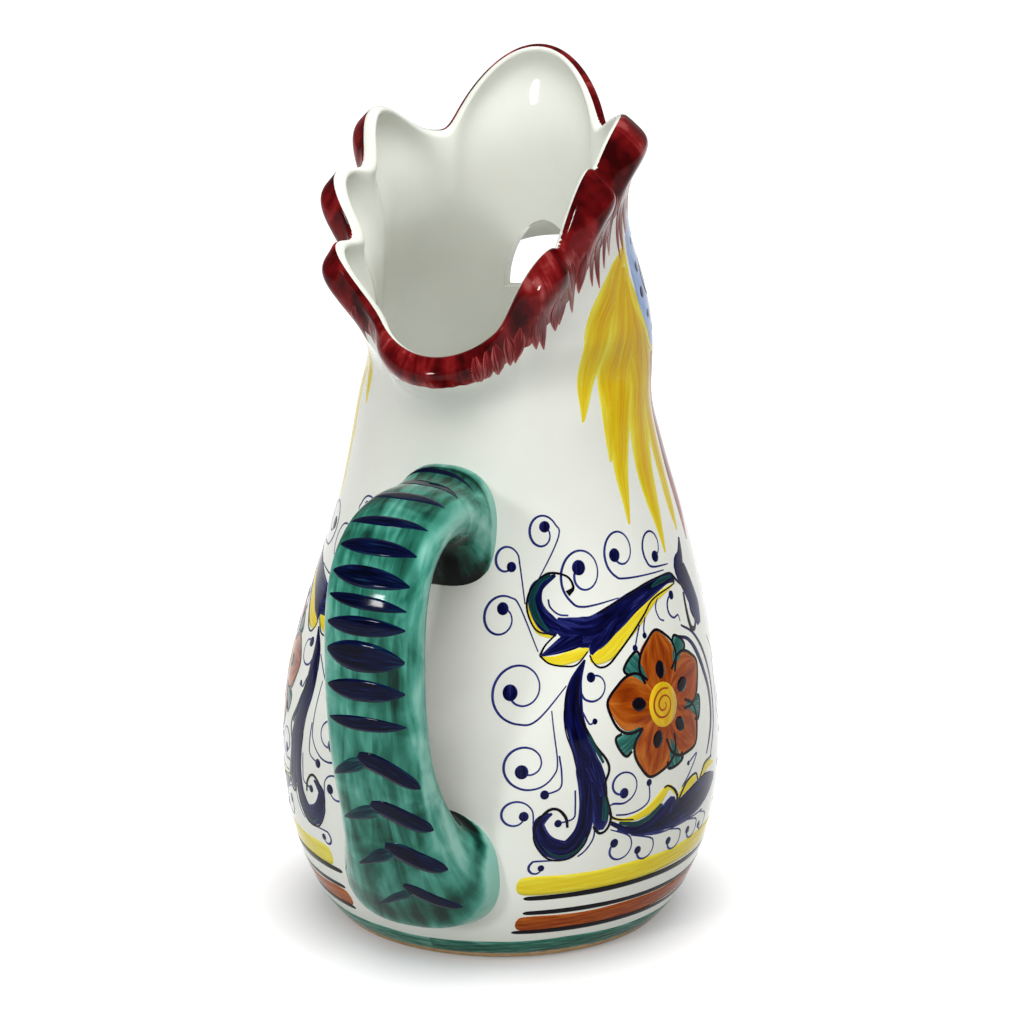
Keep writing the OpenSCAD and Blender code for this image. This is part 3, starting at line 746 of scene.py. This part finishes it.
def curl(around, height, radius, start, sweep, root_around, root_height):
    tail = [[root_around, root_height, 0.18]]
    return np.concatenate([tail, spiral(around, height, radius, start, sweep)])


def ray(heart, angle, profile):
    """Marks that run straight out from the heart of a flower."""
    t = math.radians(angle)
    reach, half = np.array(profile).T
    return np.stack([heart[0] + reach * math.cos(t), heart[1] + reach * math.sin(t), half], -1)


def petal_line(heart, angle, profile, thick=0.42):
    """Marks of the line round a petal or leaf, up one side and down the other."""
    t = math.radians(angle)
    reach, half = np.array(profile[1:]).T
    u = np.concatenate([reach, reach[-2::-1]])
    v = np.concatenate([half, -half[-2::-1]])
    v[len(reach) - 1] = 0
    around = heart[0] + u * math.cos(t) - v * math.sin(t)
    height = heart[1] + u * math.sin(t) + v * math.cos(t)
    return np.stack([around, height, np.full(len(u), thick)], -1)


def bar(share, half, drop):
    at = np.array([34, 58, 83, 108, 133])
    return np.stack([share + drop * (at - 83) / 50, at, half * np.array([0.12, 0.7, 1, 0.72, 0.1])], -1)


def hooked_bar(share, half, bend, end):
    t = np.array([0, 0.14, 0.35, 0.6, 0.84, 1])
    widths = half * np.array([0.4, 0.95, 1, 0.9, 0.6, 0.1])
    return np.stack([share - 0.022 + 0.052 * t, mix(bend, end, t), widths], -1)


def bar_tail(share, half, bend, tail):
    t = np.array([0, 0.5, 0.82, 1])
    widths = 0.75 * half * np.array([0.12, 0.7, 1, 0.9])
    return np.stack([share + 0.027 - 0.036 * t, mix(tail, bend + 2, t), widths], -1)


def wall_facing(round_by, z):
    a = 180 + round_by
    across = wall_point(a + 0.3, z) - wall_point(a - 0.3, z)
    up = wall_point(a, z + 0.3) - wall_point(a, z - 0.3)
    return wall_point(a, z), np.cross(across, up)


def strap_facing(share, angle):
    along = strap_point(share + 0.003, angle) - strap_point(share - 0.003, angle)
    across = strap_point(share, angle + 2) - strap_point(share, angle - 2)
    return strap_point(share, angle), np.cross(along, across)


# Share of its width to which the ring of a stroke is flattened, half width from which the film has its full
# height, and how far its underside lies below the wall, the last two in metres
RING_FLAT, FULL_FILM, SUNK = 0.02, 0.0012, 0.00006


def brush_tree():
    """Paths become lens-shaped strokes of glaze that lie on the ground they are painted on."""
    tree = bpy.data.node_groups.new("brush_strokes", "GeometryNodeTree")
    for label, kind in (("Paths", "Geometry"), ("Ground", "Object"), ("Height", "Float"), ("Lift", "Float"),
                        ("Sides", "Int"), ("Paint", "Material")):
        tree.interface.new_socket(label, in_out="INPUT", socket_type="NodeSocket" + kind)
    tree.interface.new_socket("Strokes", in_out="OUTPUT", socket_type="NodeSocketGeometry")
    given = tree.nodes.new("NodeGroupInput").outputs

    def node(kind, inputs, output, **settings):
        return add_node(tree, "GeometryNode" + kind, inputs, output, **settings)

    def named(name, kind="FLOAT"):
        return node("InputNamedAttribute", {"Name": name}, "Attribute", data_type=kind)

    def store(shape, name, value):
        return node("StoreNamedAttribute", {"Geometry": shape, "Name": name, "Value": value}, "Geometry",
                    data_type="FLOAT", domain="POINT")

    def number(operation, *values):
        return add_node(tree, "ShaderNodeMath", dict(enumerate(values)), operation=operation)

    def vector(operation, inputs):
        return add_node(tree, "ShaderNodeVectorMath", inputs, operation=operation)

    wide = named("half_width")
    path = node("MeshToCurve", {"Mesh": given["Paths"]}, "Curve")
    path = node("SetCurveRadius", {"Curve": path, "Radius": wide}, "Curve")
    upward = {"Curve": path, "Normal": named("facing", "FLOAT_VECTOR")}
    path = node("SetCurveNormal", upward, "Curve", mode="FREE")
    path = store(path, "along", node("SplineParameter", {}, "Length"))
    path = store(path, "share", node("SplineParameter", {}, "Factor"))
    here = node("InputPosition", {}, "Position")
    ring = node("CurvePrimitiveCircle", {"Resolution": given["Sides"], "Radius": 1.0}, "Curve", mode="RADIUS")
    for key, axis in (("across", "Y"), ("film", "X")):
        ring = store(ring, key, add_node(tree, "ShaderNodeSeparateXYZ", {"Vector": here}, axis))
    ring = node("Transform", {"Geometry": ring, "Scale": (RING_FLAT, 1, 1)}, "Geometry")
    sweep = {"Curve": path, "Profile Curve": ring, "Scale": wide, "Fill Caps": True}
    strokes = node("CurveToMesh", sweep, "Mesh")
    ground = node("ObjectInfo", {"Object": given["Ground"]}, "Geometry", transform_space="RELATIVE")
    nearest = node("Proximity", {0: ground}, "Position", target_element="FACES")
    under = {"Mesh": ground, "Value": node("InputNormal", {}, "Normal"), "Sample Position": here}
    facing = node("SampleNearestSurface", under, "Value", data_type="FLOAT_VECTOR")
    film = named("film")
    thin = number("MINIMUM", number("DIVIDE", wide, FULL_FILM), 1.0)
    swell = number("MULTIPLY", number("MULTIPLY", film, thin), given["Height"])
    below = number("LESS_THAN", film, -0.01)
    sunk = number("MULTIPLY", below, number("ADD", given["Lift"], SUNK))
    rise = number("SUBTRACT", number("ADD", swell, given["Lift"]), sunk)
    laid = vector("ADD", {0: nearest, 1: vector("SCALE", {0: facing, "Scale": rise})})
    strokes = node("SetPosition", {"Geometry": strokes, "Position": laid}, "Geometry")
    strokes = node("RealizeInstances", {"Geometry": strokes}, "Geometry")
    strokes = node("SetMaterial", {"Geometry": strokes, "Material": given["Paint"]}, "Geometry")
    tree.links.new(strokes, tree.nodes.new("NodeGroupOutput").inputs["Strokes"])
    return tree


BRUSH = brush_tree()


FILM, THIN_FILM, SIDES = 0.045, 0.03, 10


def paint(name, strokes, material, slot, lift, height=FILM, sides=SIDES, ground=None, facing=wall_facing,
          stretch=(1, 1)):
    """Strokes of one colour as one piece; a stroke that comes round to its start is closed into a ring."""
    places, widths, normals, tints, edges = [], [], [], [], []
    for number, marks in enumerate(strokes):
        path = smooth_path(marks, stretch)
        closed = abs(path[-1, 0] - path[0, 0]) == 360
        path = path[:-1] if closed else path
        at, out = facing(path[:, 0], path[:, 1])
        first, n = len(places), len(path)
        places += (at * MM).tolist()
        normals.append(out / np.linalg.norm(out, axis=1, keepdims=True))
        widths.append(path[:, 2] * MM)
        tints.append(np.full(n, number * 0.618 % 1))
        edges += [(first + k, first + k + 1) for k in range(n - 1)]
        edges += [(first + n - 1, first)] if closed else []
    mesh = bpy.data.meshes.new(name)
    mesh.from_pydata(places, edges, [])
    mark(mesh, half_width=np.concatenate(widths), tint=np.concatenate(tints))
    outward = mesh.attributes.new("facing", "FLOAT_VECTOR", "POINT")
    outward.data.foreach_set("vector", np.concatenate(normals).ravel())
    piece = put(name, mesh)
    brush = piece.modifiers.new("brush", "NODES")
    brush.node_group = BRUSH
    values = {"Ground": ground or GROUND, "Height": height * MM, "Lift": lift * MM, "Sides": sides,
              "Paint": material}
    for item in BRUSH.interface.items_tree:
        if item.name in values:
            brush[item.identifier] = values[item.name]
    settle(piece)
    face_outward(piece.data)
    place(piece, slot)


def brush_paint(name, *stops, grain=1.6, edge=0.18, end=0.12, contrast=1.0):
    """Fired brush colour: streaks run along the stroke, and it thins at its edges and towards its end."""
    coat = Finish(name, GLOSS, BRUSH_SHEEN)
    do = coat.do
    across = coat.read("across")
    brushed = coat.combine(do("MULTIPLY", across, 2.4), do("MULTIPLY", coat.read("along"), 70),
                           do("MULTIPLY", coat.read("tint"), 40))
    streak = do("MULTIPLY", do("SUBTRACT", coat.noise(brushed, grain, 4, 0.3), 0.5), contrast)
    edges = do("MULTIPLY", do("POWER", do("ABSOLUTE", across), 4), edge)
    ends = do("MULTIPLY", do("POWER", coat.read("share"), 5), end)
    return coat.colour(do("ADD", do("ADD", do("ADD", streak, 0.5), edges), ends), stops)


def painted_ground():
    """The outside of the walls as one sheet, for the paint to lie on."""
    a = np.arange(0, 360, 1.0)[:, None]
    r = rim(a)
    low = np.linspace(0.9, NECK_Z, 150)[None] + 0 * a
    high = mix(NECK_Z, rim_z(r) - LIP_H, np.linspace(0, 1, 80)[None])[:, 1:]
    rows = wall_point(a, np.concatenate([low, high], 1), 0, r)
    n, m = rows.shape[:2]
    index = np.arange(n * m).reshape(n, m)
    there = np.roll(index, -1, 0)
    quads = np.stack([index[:, :-1], there[:, :-1], there[:, 1:], index[:, 1:]], -1).reshape(-1, 4).tolist()
    mesh = bpy.data.meshes.new("painted_ground")
    mesh.from_pydata((rows.reshape(-1, 3) * MM).tolist(), [], quads)
    return put("painted_ground", mesh)


GROUND = painted_ground()
COBALT = brush_paint("cobalt_blue", (0.36, 1, 1, 24), (0.58, 10, 14, 70), (0.84, 50, 58, 130))
CURL_BLUE = brush_paint("curl_blue", (0.35, 12, 16, 74), (0.7, 60, 68, 140))
LEAF_TEAL = brush_paint("leaf_teal", (0.3, 8, 50, 52), (0.6, 44, 110, 100), (0.8, 92, 160, 146))
SHADE_TEAL = brush_paint("shade_teal", (0.35, 4, 26, 34), (0.75, 26, 84, 84))
BAND_GREEN = brush_paint("band_green", (0.35, 24, 74, 60), (0.55, 52, 112, 95), (0.8, 118, 178, 160))
BLACK = brush_paint("manganese_black", (0.35, 4, 2, 8), (0.75, 22, 14, 26))
LEMON = brush_paint("lemon_yellow", (0.36, 224, 190, 24), (0.55, 230, 212, 48), (0.8, 236, 228, 108),
                    contrast=0.6)
FEATHER_YELLOW = brush_paint("feather_yellow", (0.36, 206, 158, 14), (0.52, 220, 188, 26),
                             (0.72, 232, 222, 74), grain=1.2, edge=0.3, end=0.1, contrast=0.5)
GOLD = brush_paint("golden_yellow", (0.3, 204, 150, 14), (0.7, 222, 186, 32), grain=1.2, edge=0.25)
ORANGE = brush_paint("petal_orange", (0.32, 120, 40, 2), (0.52, 156, 68, 8), (0.84, 194, 112, 40))
CRIMSON = brush_paint("brush_crimson", (0.36, 78, 3, 6), (0.55, 122, 24, 27), (0.84, 188, 112, 108), end=0.3)
SKY_BLUE = brush_paint("cheek_blue", (0.3, 116, 146, 200), (0.7, 160, 184, 224), grain=2.4)
NAVY = brush_paint("handle_navy", (0.4, 1, 3, 22), (0.62, 5, 14, 52), (0.9, 22, 66, 80), grain=2.0)
THIN_NAVY = brush_paint("handle_navy_thin", (0.35, 4, 20, 40), (0.6, 14, 50, 62), (0.85, 36, 104, 94),
                        grain=2.0)
EYE_WHITE = brush_paint("eye_white", (0.3, 226, 228, 218), (0.7, 238, 240, 232))
BREAST_STEP = BREAST_FLOWER[0] - FLOWER[0]


def mirrored(marks, centre=0.0):
    return np.asarray(marks, float) * (-1, 1, 1) + (2 * centre, 0, 0)


def both_sides(strokes):
    return [np.asarray(s, float) for s in strokes] + [mirrored(s) for s in strokes]


def round_the_wall(strokes):
    """The panel on both sides, and what lies behind its flower again on each side of the breast flower."""
    done = both_sides(strokes)
    for marks in (np.asarray(s, float) for s in strokes):
        half = marks[marks[:, 0] < FLOWER[0]]
        if len(half) < 2:
            continue
        if len(half) < len(marks):
            half[-1 if marks[-1, 0] >= FLOWER[0] else 0, 2] = 0.25
        done += [half + (BREAST_STEP, 0, 0), mirrored(half + (BREAST_STEP, 0, 0), 180)]
    return done


def flowers(strokes_at):
    """Strokes of the flower on each side and on the breast."""
    return both_sides(strokes_at(FLOWER)) + strokes_at(BREAST_FLOWER)


def petals(shape, profile):
    return flowers(lambda at: [shape(at, turn, profile) for turn in PETAL_ANGLES])


def leaves(shape, profile):
    return flowers(lambda at: [shape(at, turn, profile) for turn in LEAF_ANGLES])


def dotted_end(marks, radius):
    return dot(*marks[-1][:2], radius)


curls = [curl(*c) for c in CURLS]
stems = [np.array([(*p, 0.26) for p in places]) for _, *places in STEMS]
end_dots = [dotted_end(c, 0.6 + 0.17 * row[2]) for c, row in zip(curls, CURLS)]
end_dots += [dotted_end(s, row[0]) for s, row in zip(stems, STEMS) if row[0]]

# The curls between the handle and the scroll come again in front of the flower, below the feathers
SCROLL_BACK, FEATHER_TIPS = 40, 107
back_curls = [c for c in curls + end_dots if c[:, 0].max() < SCROLL_BACK and c[:, 1].max() < FEATHER_TIPS]
front_curls = both_sides([mirrored(c, FLOWER[0]) for c in back_curls])
all_curls = round_the_wall(curls + stems) + front_curls
hearts = flowers(lambda at: [dot(*at, HEART_R + 1)])
centres = flowers(lambda at: [dot(*at, HEART_R)])
spirals = flowers(lambda at: [spiral(*at, *HEART_SPIRAL)])

# Coats of the belly in the order they are laid: piece, strokes, colour, slot, lift, height of the film, sides
for coat in (
        ("yellow_leaves", round_the_wall(YELLOW_LEAVES), LEMON, "yellow_glaze", 0.0),
        ("flower_leaves", leaves(ray, FLOWER_LEAF), LEAF_TEAL, "green_glaze", 0.0),
        ("flower_hearts", hearts, ORANGE, "yellow_glaze", 0.006),
        ("orange_petals", petals(ray, PETAL), ORANGE, "yellow_glaze", 0.012, FILM, 16),
        ("flower_centres", centres, GOLD, "yellow_glaze", 0.062, 0.02),
        ("flower_spirals", spirals, ORANGE, "yellow_glaze", 0.085, 0.015),
        ("blue_scrolls", round_the_wall(SCROLLS + VINES), COBALT, "white_glaze", 0.03, FILM, 16),
        ("teal_shades", round_the_wall(TEAL_SHADES), SHADE_TEAL, "green_glaze", 0.06),
        ("blue_curls", all_curls, CURL_BLUE, "white_glaze", 0.03, THIN_FILM, 8),
        ("curl_dots", round_the_wall(end_dots), COBALT, "white_glaze", 0.05),
        ("dark_lines", round_the_wall(DARK_LINES), BLACK, "white_glaze", 0.07, THIN_FILM, 8),
        ("petal_lines", petals(petal_line, PETAL), BLACK, "white_glaze", 0.07, THIN_FILM, 8),
        ("leaf_lines", leaves(petal_line, FLOWER_LEAF[1:]), BLACK, "white_glaze", 0.045, THIN_FILM, 8),
        ("petal_drops", petals(ray, PETAL_DROP), BLACK, "white_glaze", 0.06)):
    paint(*coat)

# Bands round the base, left open at the handle
BANDS = (("base_green_band", BAND_GREEN, "green_glaze", 4.9, 3.4, 0, 360),
         ("base_lower_line", BLACK, "white_glaze", 10.9, 0.85, 25, 333),
         ("base_orange_band", ORANGE, "yellow_glaze", 14.0, 2.9, 26, 333),
         ("base_middle_line", BLACK, "white_glaze", 17.5, 0.8, 28, 332),
         ("base_upper_line", BLACK, "white_glaze", 22.6, 0.9, 28, 333),
         ("base_yellow_band", LEMON, "yellow_glaze", 26.6, 3.2, 26, 330))
for name, colour, slot, z, half, start, stop in BANDS:
    at = np.linspace(start, stop, 61)
    wave = 1 + 0.05 * np.sin(at * 0.21 + z) + 0.04 * np.sin(at * 0.093 + 2 * z)
    row = np.stack([at, z + 0.2 * np.sin(at * 0.071 + z), half * wave], -1)
    if stop - start < 360:
        row[[0, -1], 2] *= 0.3
        row = np.insert(row, [1, len(row) - 1], [row[1] * (0, 1, 0.85) + (start + 1.2, 0, 0),
                                                 row[-2] * (0, 1, 0.85) + (stop - 1.2, 0, 0)], 0)
    else:
        row[-1, 1:] = row[0, 1:]
    paint(name, [row], colour, slot, 0.0 if half > 1 else 0.03, THIN_FILM)


# Hackle feathers, cheeks, eyes and wattles

def on_the_left(marks):
    """A right hackle feather on the left, where it sweeps nearer to the handle on its way down."""
    def step(z):
        return LEFT_FEATHER_STEP * (1 - bump(min(0, z - FEATHER_TOP) / FEATHER_FADE))

    return [(step(z) - b, z, w) for b, z, w in marks]


streaks = [[(b, z, 0.3 * w) for b, z, w in marks[:-2]] for marks in FEATHERS]
hackles, hackle_streaks = (list(rows) + [on_the_left(m) for m in rows] for rows in (FEATHERS, streaks))
eye_rims, eye_whites, eye_pupils = (both_sides([dot(*EYE, radius)]) for radius in EYE_RADII)

# Coats of the head in the order they are laid, as above
for coat in (
        ("hackle_feathers", hackles, FEATHER_YELLOW, "yellow_glaze", 0.0, FILM, 24),
        ("feather_streaks", hackle_streaks, GOLD, "yellow_glaze", 0.04, THIN_FILM, 24),
        ("breast_feathers", both_sides(BREAST_FEATHERS), FEATHER_YELLOW, "yellow_glaze", 0.0, FILM, 24),
        ("red_feathers", both_sides(RED_FEATHERS), CRIMSON, "red_glaze", 0.01, FILM, 24),
        ("wattles", both_sides([WATTLE]), CRIMSON, "red_glaze", 0.0, FILM, 24),
        ("cheek_patches", both_sides([CHEEK]), SKY_BLUE, "white_glaze", 0.04, THIN_FILM, 28),
        ("cheek_borders", both_sides([CHEEK_EDGE]), LEMON, "yellow_glaze", 0.06, 0.02),
        ("cheek_dots", both_sides([dot(*d) for d in CHEEK_DOTS]), COBALT, "white_glaze", 0.075, 0.02),
        ("eye_rims", eye_rims, COBALT, "white_glaze", 0.075, 0.01),
        ("eye_whites", eye_whites, EYE_WHITE, "white_glaze", 0.085, 0.01),
        ("eye_pupils", eye_pupils, BLACK, "white_glaze", 0.095, 0.015)):
    paint(*coat)

# Comb glaze: from the edge of the rim down the outside, brushed out into a fringe
COMB_FILM, COMB_SUNK = 0.05, 0.3

# Stretch of the nape, in degrees from the handle, where the edge of the glaze has no fringe
SMOOTH_NAPE = (15, -30)


def comb_glaze():
    a = np.arange(0, 360, 0.5)
    r = rim(a)
    col = a[:, None]
    top = rim_z(r) - LIP_H
    ragged = sum(size * np.sin(np.radians(a * turns)) for size, turns in ((0.5, 31), (0.4, 53), (0.3, 89)))
    foot_z = comb_foot_z(r) - 0.3 + ragged * (1 - 0.8 * bump((a - 180) / 50))
    share = np.linspace(0, 1, 25)
    film = COMB_FILM * np.minimum(1, 4 * share) ** 0.5
    rows = [(mix(foot_z[:, None], top[:, None], share), -film + 0 * col)]
    # Degrees by which the glaze turns in over the edge: most at the crest, least on the hen's left
    edge_turn = 104 + 24 * bump(((a + 180) % 360 - 180) / 50) - 62 * bump((a - 92) / 50)
    turn = np.radians(edge_turn)[:, None] * np.arange(1, 14) / 13
    over = COMB_FILM * np.minimum(1, 4 * (1 - np.arange(1, 14) / 13)) ** 0.5
    rows.append((top[:, None] + (LIP_H + over) * np.sin(turn),
                 RIM_T / 2 - (RIM_T / 2 + over) * np.cos(turn) + 0 * col))
    back = np.radians(edge_turn - 4)[:, None] * np.array([1, 0.7, 0.35, 0])
    low_turn, under_r = top[:, None] + (LIP_H - COMB_SUNK) * np.sin(back), RIM_T / 2 - COMB_SUNK
    rows.append((low_turn, RIM_T / 2 - under_r * np.cos(back) + 0 * col))
    down = np.linspace(0, 1, 9)[1:]
    rows.append((mix(top[:, None], foot_z[:, None] + 0.2, down), COMB_SUNK + 0 * down + 0 * col))
    z, inset = (np.concatenate([row[k] for row in rows], 1) for k in (0, 1))
    piece = add_piece("comb_glaze", *skin(wall_point(col, z, inset, r[:, :, None]), True), RED, SOFT_FOLD)
    depth = (rim_z(r)[:, None] - z) / (rim_z(r) - foot_z)[:, None]
    mark(piece.data, around=(col + 0 * z) * 0.7, depth=depth)
    place(piece, "red_glaze")


def fringe_flames():
    """Flames of glaze brushed down from the foot of the comb, short at the nape and long above the cheeks."""
    rng = np.random.default_rng(11)
    flames = []
    for place_round in np.arange(9, 352, 4.2):
        at = place_round + rng.uniform(-1.2, 1.2)
        side = min(at, 360 - at)
        towards_handle = -1 if at < 180 else 1
        root = float(comb_foot_z(rim(np.array(180 + at))))
        long = rng.uniform(0.7, 1.15) * (0.5 + 5 * bump(max(0, 46 - side) / 34) + 7 * bump((side - 86) / 30))
        wide = rng.uniform(1.4, 2.4)
        lean = towards_handle * rng.uniform(-0.5, 2.5)
        if SMOOTH_NAPE[0] < at < 360 + SMOOTH_NAPE[1]:
            flames.append([(at - lean, root + 7, 0.3), (at - 0.5 * lean, root + 3, wide),
                           (at, root, wide * 0.9), (at + 0.6 * lean, root - 0.55 * long, wide * 0.55),
                           (at + lean, root - long, 0.2)])
    return flames


comb_glaze()
paint("comb_fringe", fringe_flames(), CRIMSON, "red_glaze", 0.05, 0.04)

STRAP_STRETCH = (190, 0.2)
bars = [bar(*b) for b in BARS]
bars += [hooked_bar(share, half, bend, end) for share, half, _, bend, end in HOOKED_BARS]
tails = [bar_tail(share, half, bend, tail) for share, half, tail, bend, _ in HOOKED_BARS]
for coat in (("strap_bars", bars, NAVY, "green_glaze", 0.02),
             ("strap_bar_tails", tails, THIN_NAVY, "green_glaze", 0.0)):
    paint(*coat, ground=strap, facing=strap_facing, stretch=STRAP_STRETCH)
bpy.data.objects.remove(GROUND)


# Table, lights and camera

def table_white(name, colour, near, far):
    """White ground, dimmed near the foot as a painted shadow; near and far are each a distance and a glow."""
    coat = Finish(name, TABLE_MATT, TABLE_SHEEN)
    coat.shader.inputs["Base Color"].default_value = (*colour, 1)
    rays = coat.tree.nodes.new("ShaderNodeLightPath").outputs
    seen = coat.do("MAXIMUM", rays["Is Glossy Ray"], rays["Is Transmission Ray"])
    seen = coat.do("MAXIMUM", rays["Is Camera Ray"], seen)
    reach = add_node(coat.tree, "ShaderNodeVectorMath", {0: coat.where()}, "Value", operation="LENGTH")
    span = {"Value": reach, "From Min": near[0], "From Max": far[0], "To Min": near[1], "To Max": far[1]}
    # Painted shadow: the glow grows with distance from the middle of the foot.
    painted_shadow_ramp = add_node(coat.tree, "ShaderNodeMapRange", span, interpolation_type="SMOOTHSTEP")
    glow = add_node(coat.tree, "ShaderNodeEmission", {"Strength": coat.do("MULTIPLY", seen, painted_shadow_ramp)})
    both = add_node(coat.tree, "ShaderNodeAddShader", {0: coat.shader.outputs[0], 1: glow})
    coat.tree.links.new(both, coat.tree.nodes["Material Output"].inputs["Surface"])
    return coat.material


TABLE_HALF, TABLE_Z = 3000, -0.05
corners = [(x * TABLE_HALF, y * TABLE_HALF, TABLE_Z) for x, y in ((-1, -1), (1, -1), (1, 1), (-1, 1))]
# Painted shadow round the foot: the table's glow is low close to it and full white by 92 mm out.
cloth = table_white("white_table", (0.5, 0.5, 0.5), (0.035, 0.18), (0.092, 0.85))
table = add_piece("table", corners, [[0, 1, 2, 3]], cloth)


def lamp(name, at, aim, size, power, glint=False):
    """Soft lamp; one that is a glint shows in the glaze and nowhere else."""
    light = bpy.data.lights.new(name, "AREA")
    light.shape, light.size, light.size_y, light.energy = "RECTANGLE", size[0], size[1], power
    holder = put(name, light)
    holder.location = at
    holder.rotation_euler = (Vector(at) - Vector(aim)).to_track_quat("Z", "Y").to_euler()
    holder.visible_glossy = glint
    holder.visible_diffuse = not glint


def towards(azimuth, elevation):
    """Direction from the pitcher, with its azimuth counted from the beak towards the hen's left."""
    a, e = math.radians(azimuth), math.radians(elevation)
    return Vector((math.sin(a) * math.cos(e), -math.cos(a) * math.cos(e), math.sin(e)))


DISTANCE, KEY_DISTANCE, WINDOW = 1.2, 1.5, (0.15, 0.22)
back, key = towards(202, 16.2), towards(162, 14)
middle = Vector((0, 0, 0.12))
lamp("window_glint", middle + key * KEY_DISTANCE, middle, WINDOW, 10, True)
lamp("key_softbox", middle + key * KEY_DISTANCE, middle, WINDOW, 6)
lamp("fill_softbox", (-1.4, 0.7, 0.9), middle, (1.0, 1.0), 4)
lamp("high_softbox", (-0.35, 0.8, 1.5), middle, (1.4, 1.4), 20)
lamp("top_softbox", (0.0, -0.4, 1.6), middle, (1.4, 1.4), 11)

world = bpy.data.worlds.new("pale_room")
bpy.context.scene.world = world
world.use_nodes = True
room = world.node_tree.nodes["Background"].inputs
room["Color"].default_value = (1, 1, 1, 1)
room["Strength"].default_value = 0.24

view = bpy.data.cameras.new("photo_view")
view.sensor_width, view.lens = 36, 151.875
view.shift_x, view.shift_y = 0.0107, -0.0168
camera = put("photo_view", view)
camera.location = middle + back * DISTANCE
camera.rotation_euler = back.to_track_quat("Z", "Y").to_euler()
bpy.context.scene.camera = camera
bpy.context.scene.view_settings.view_transform = "Standard"
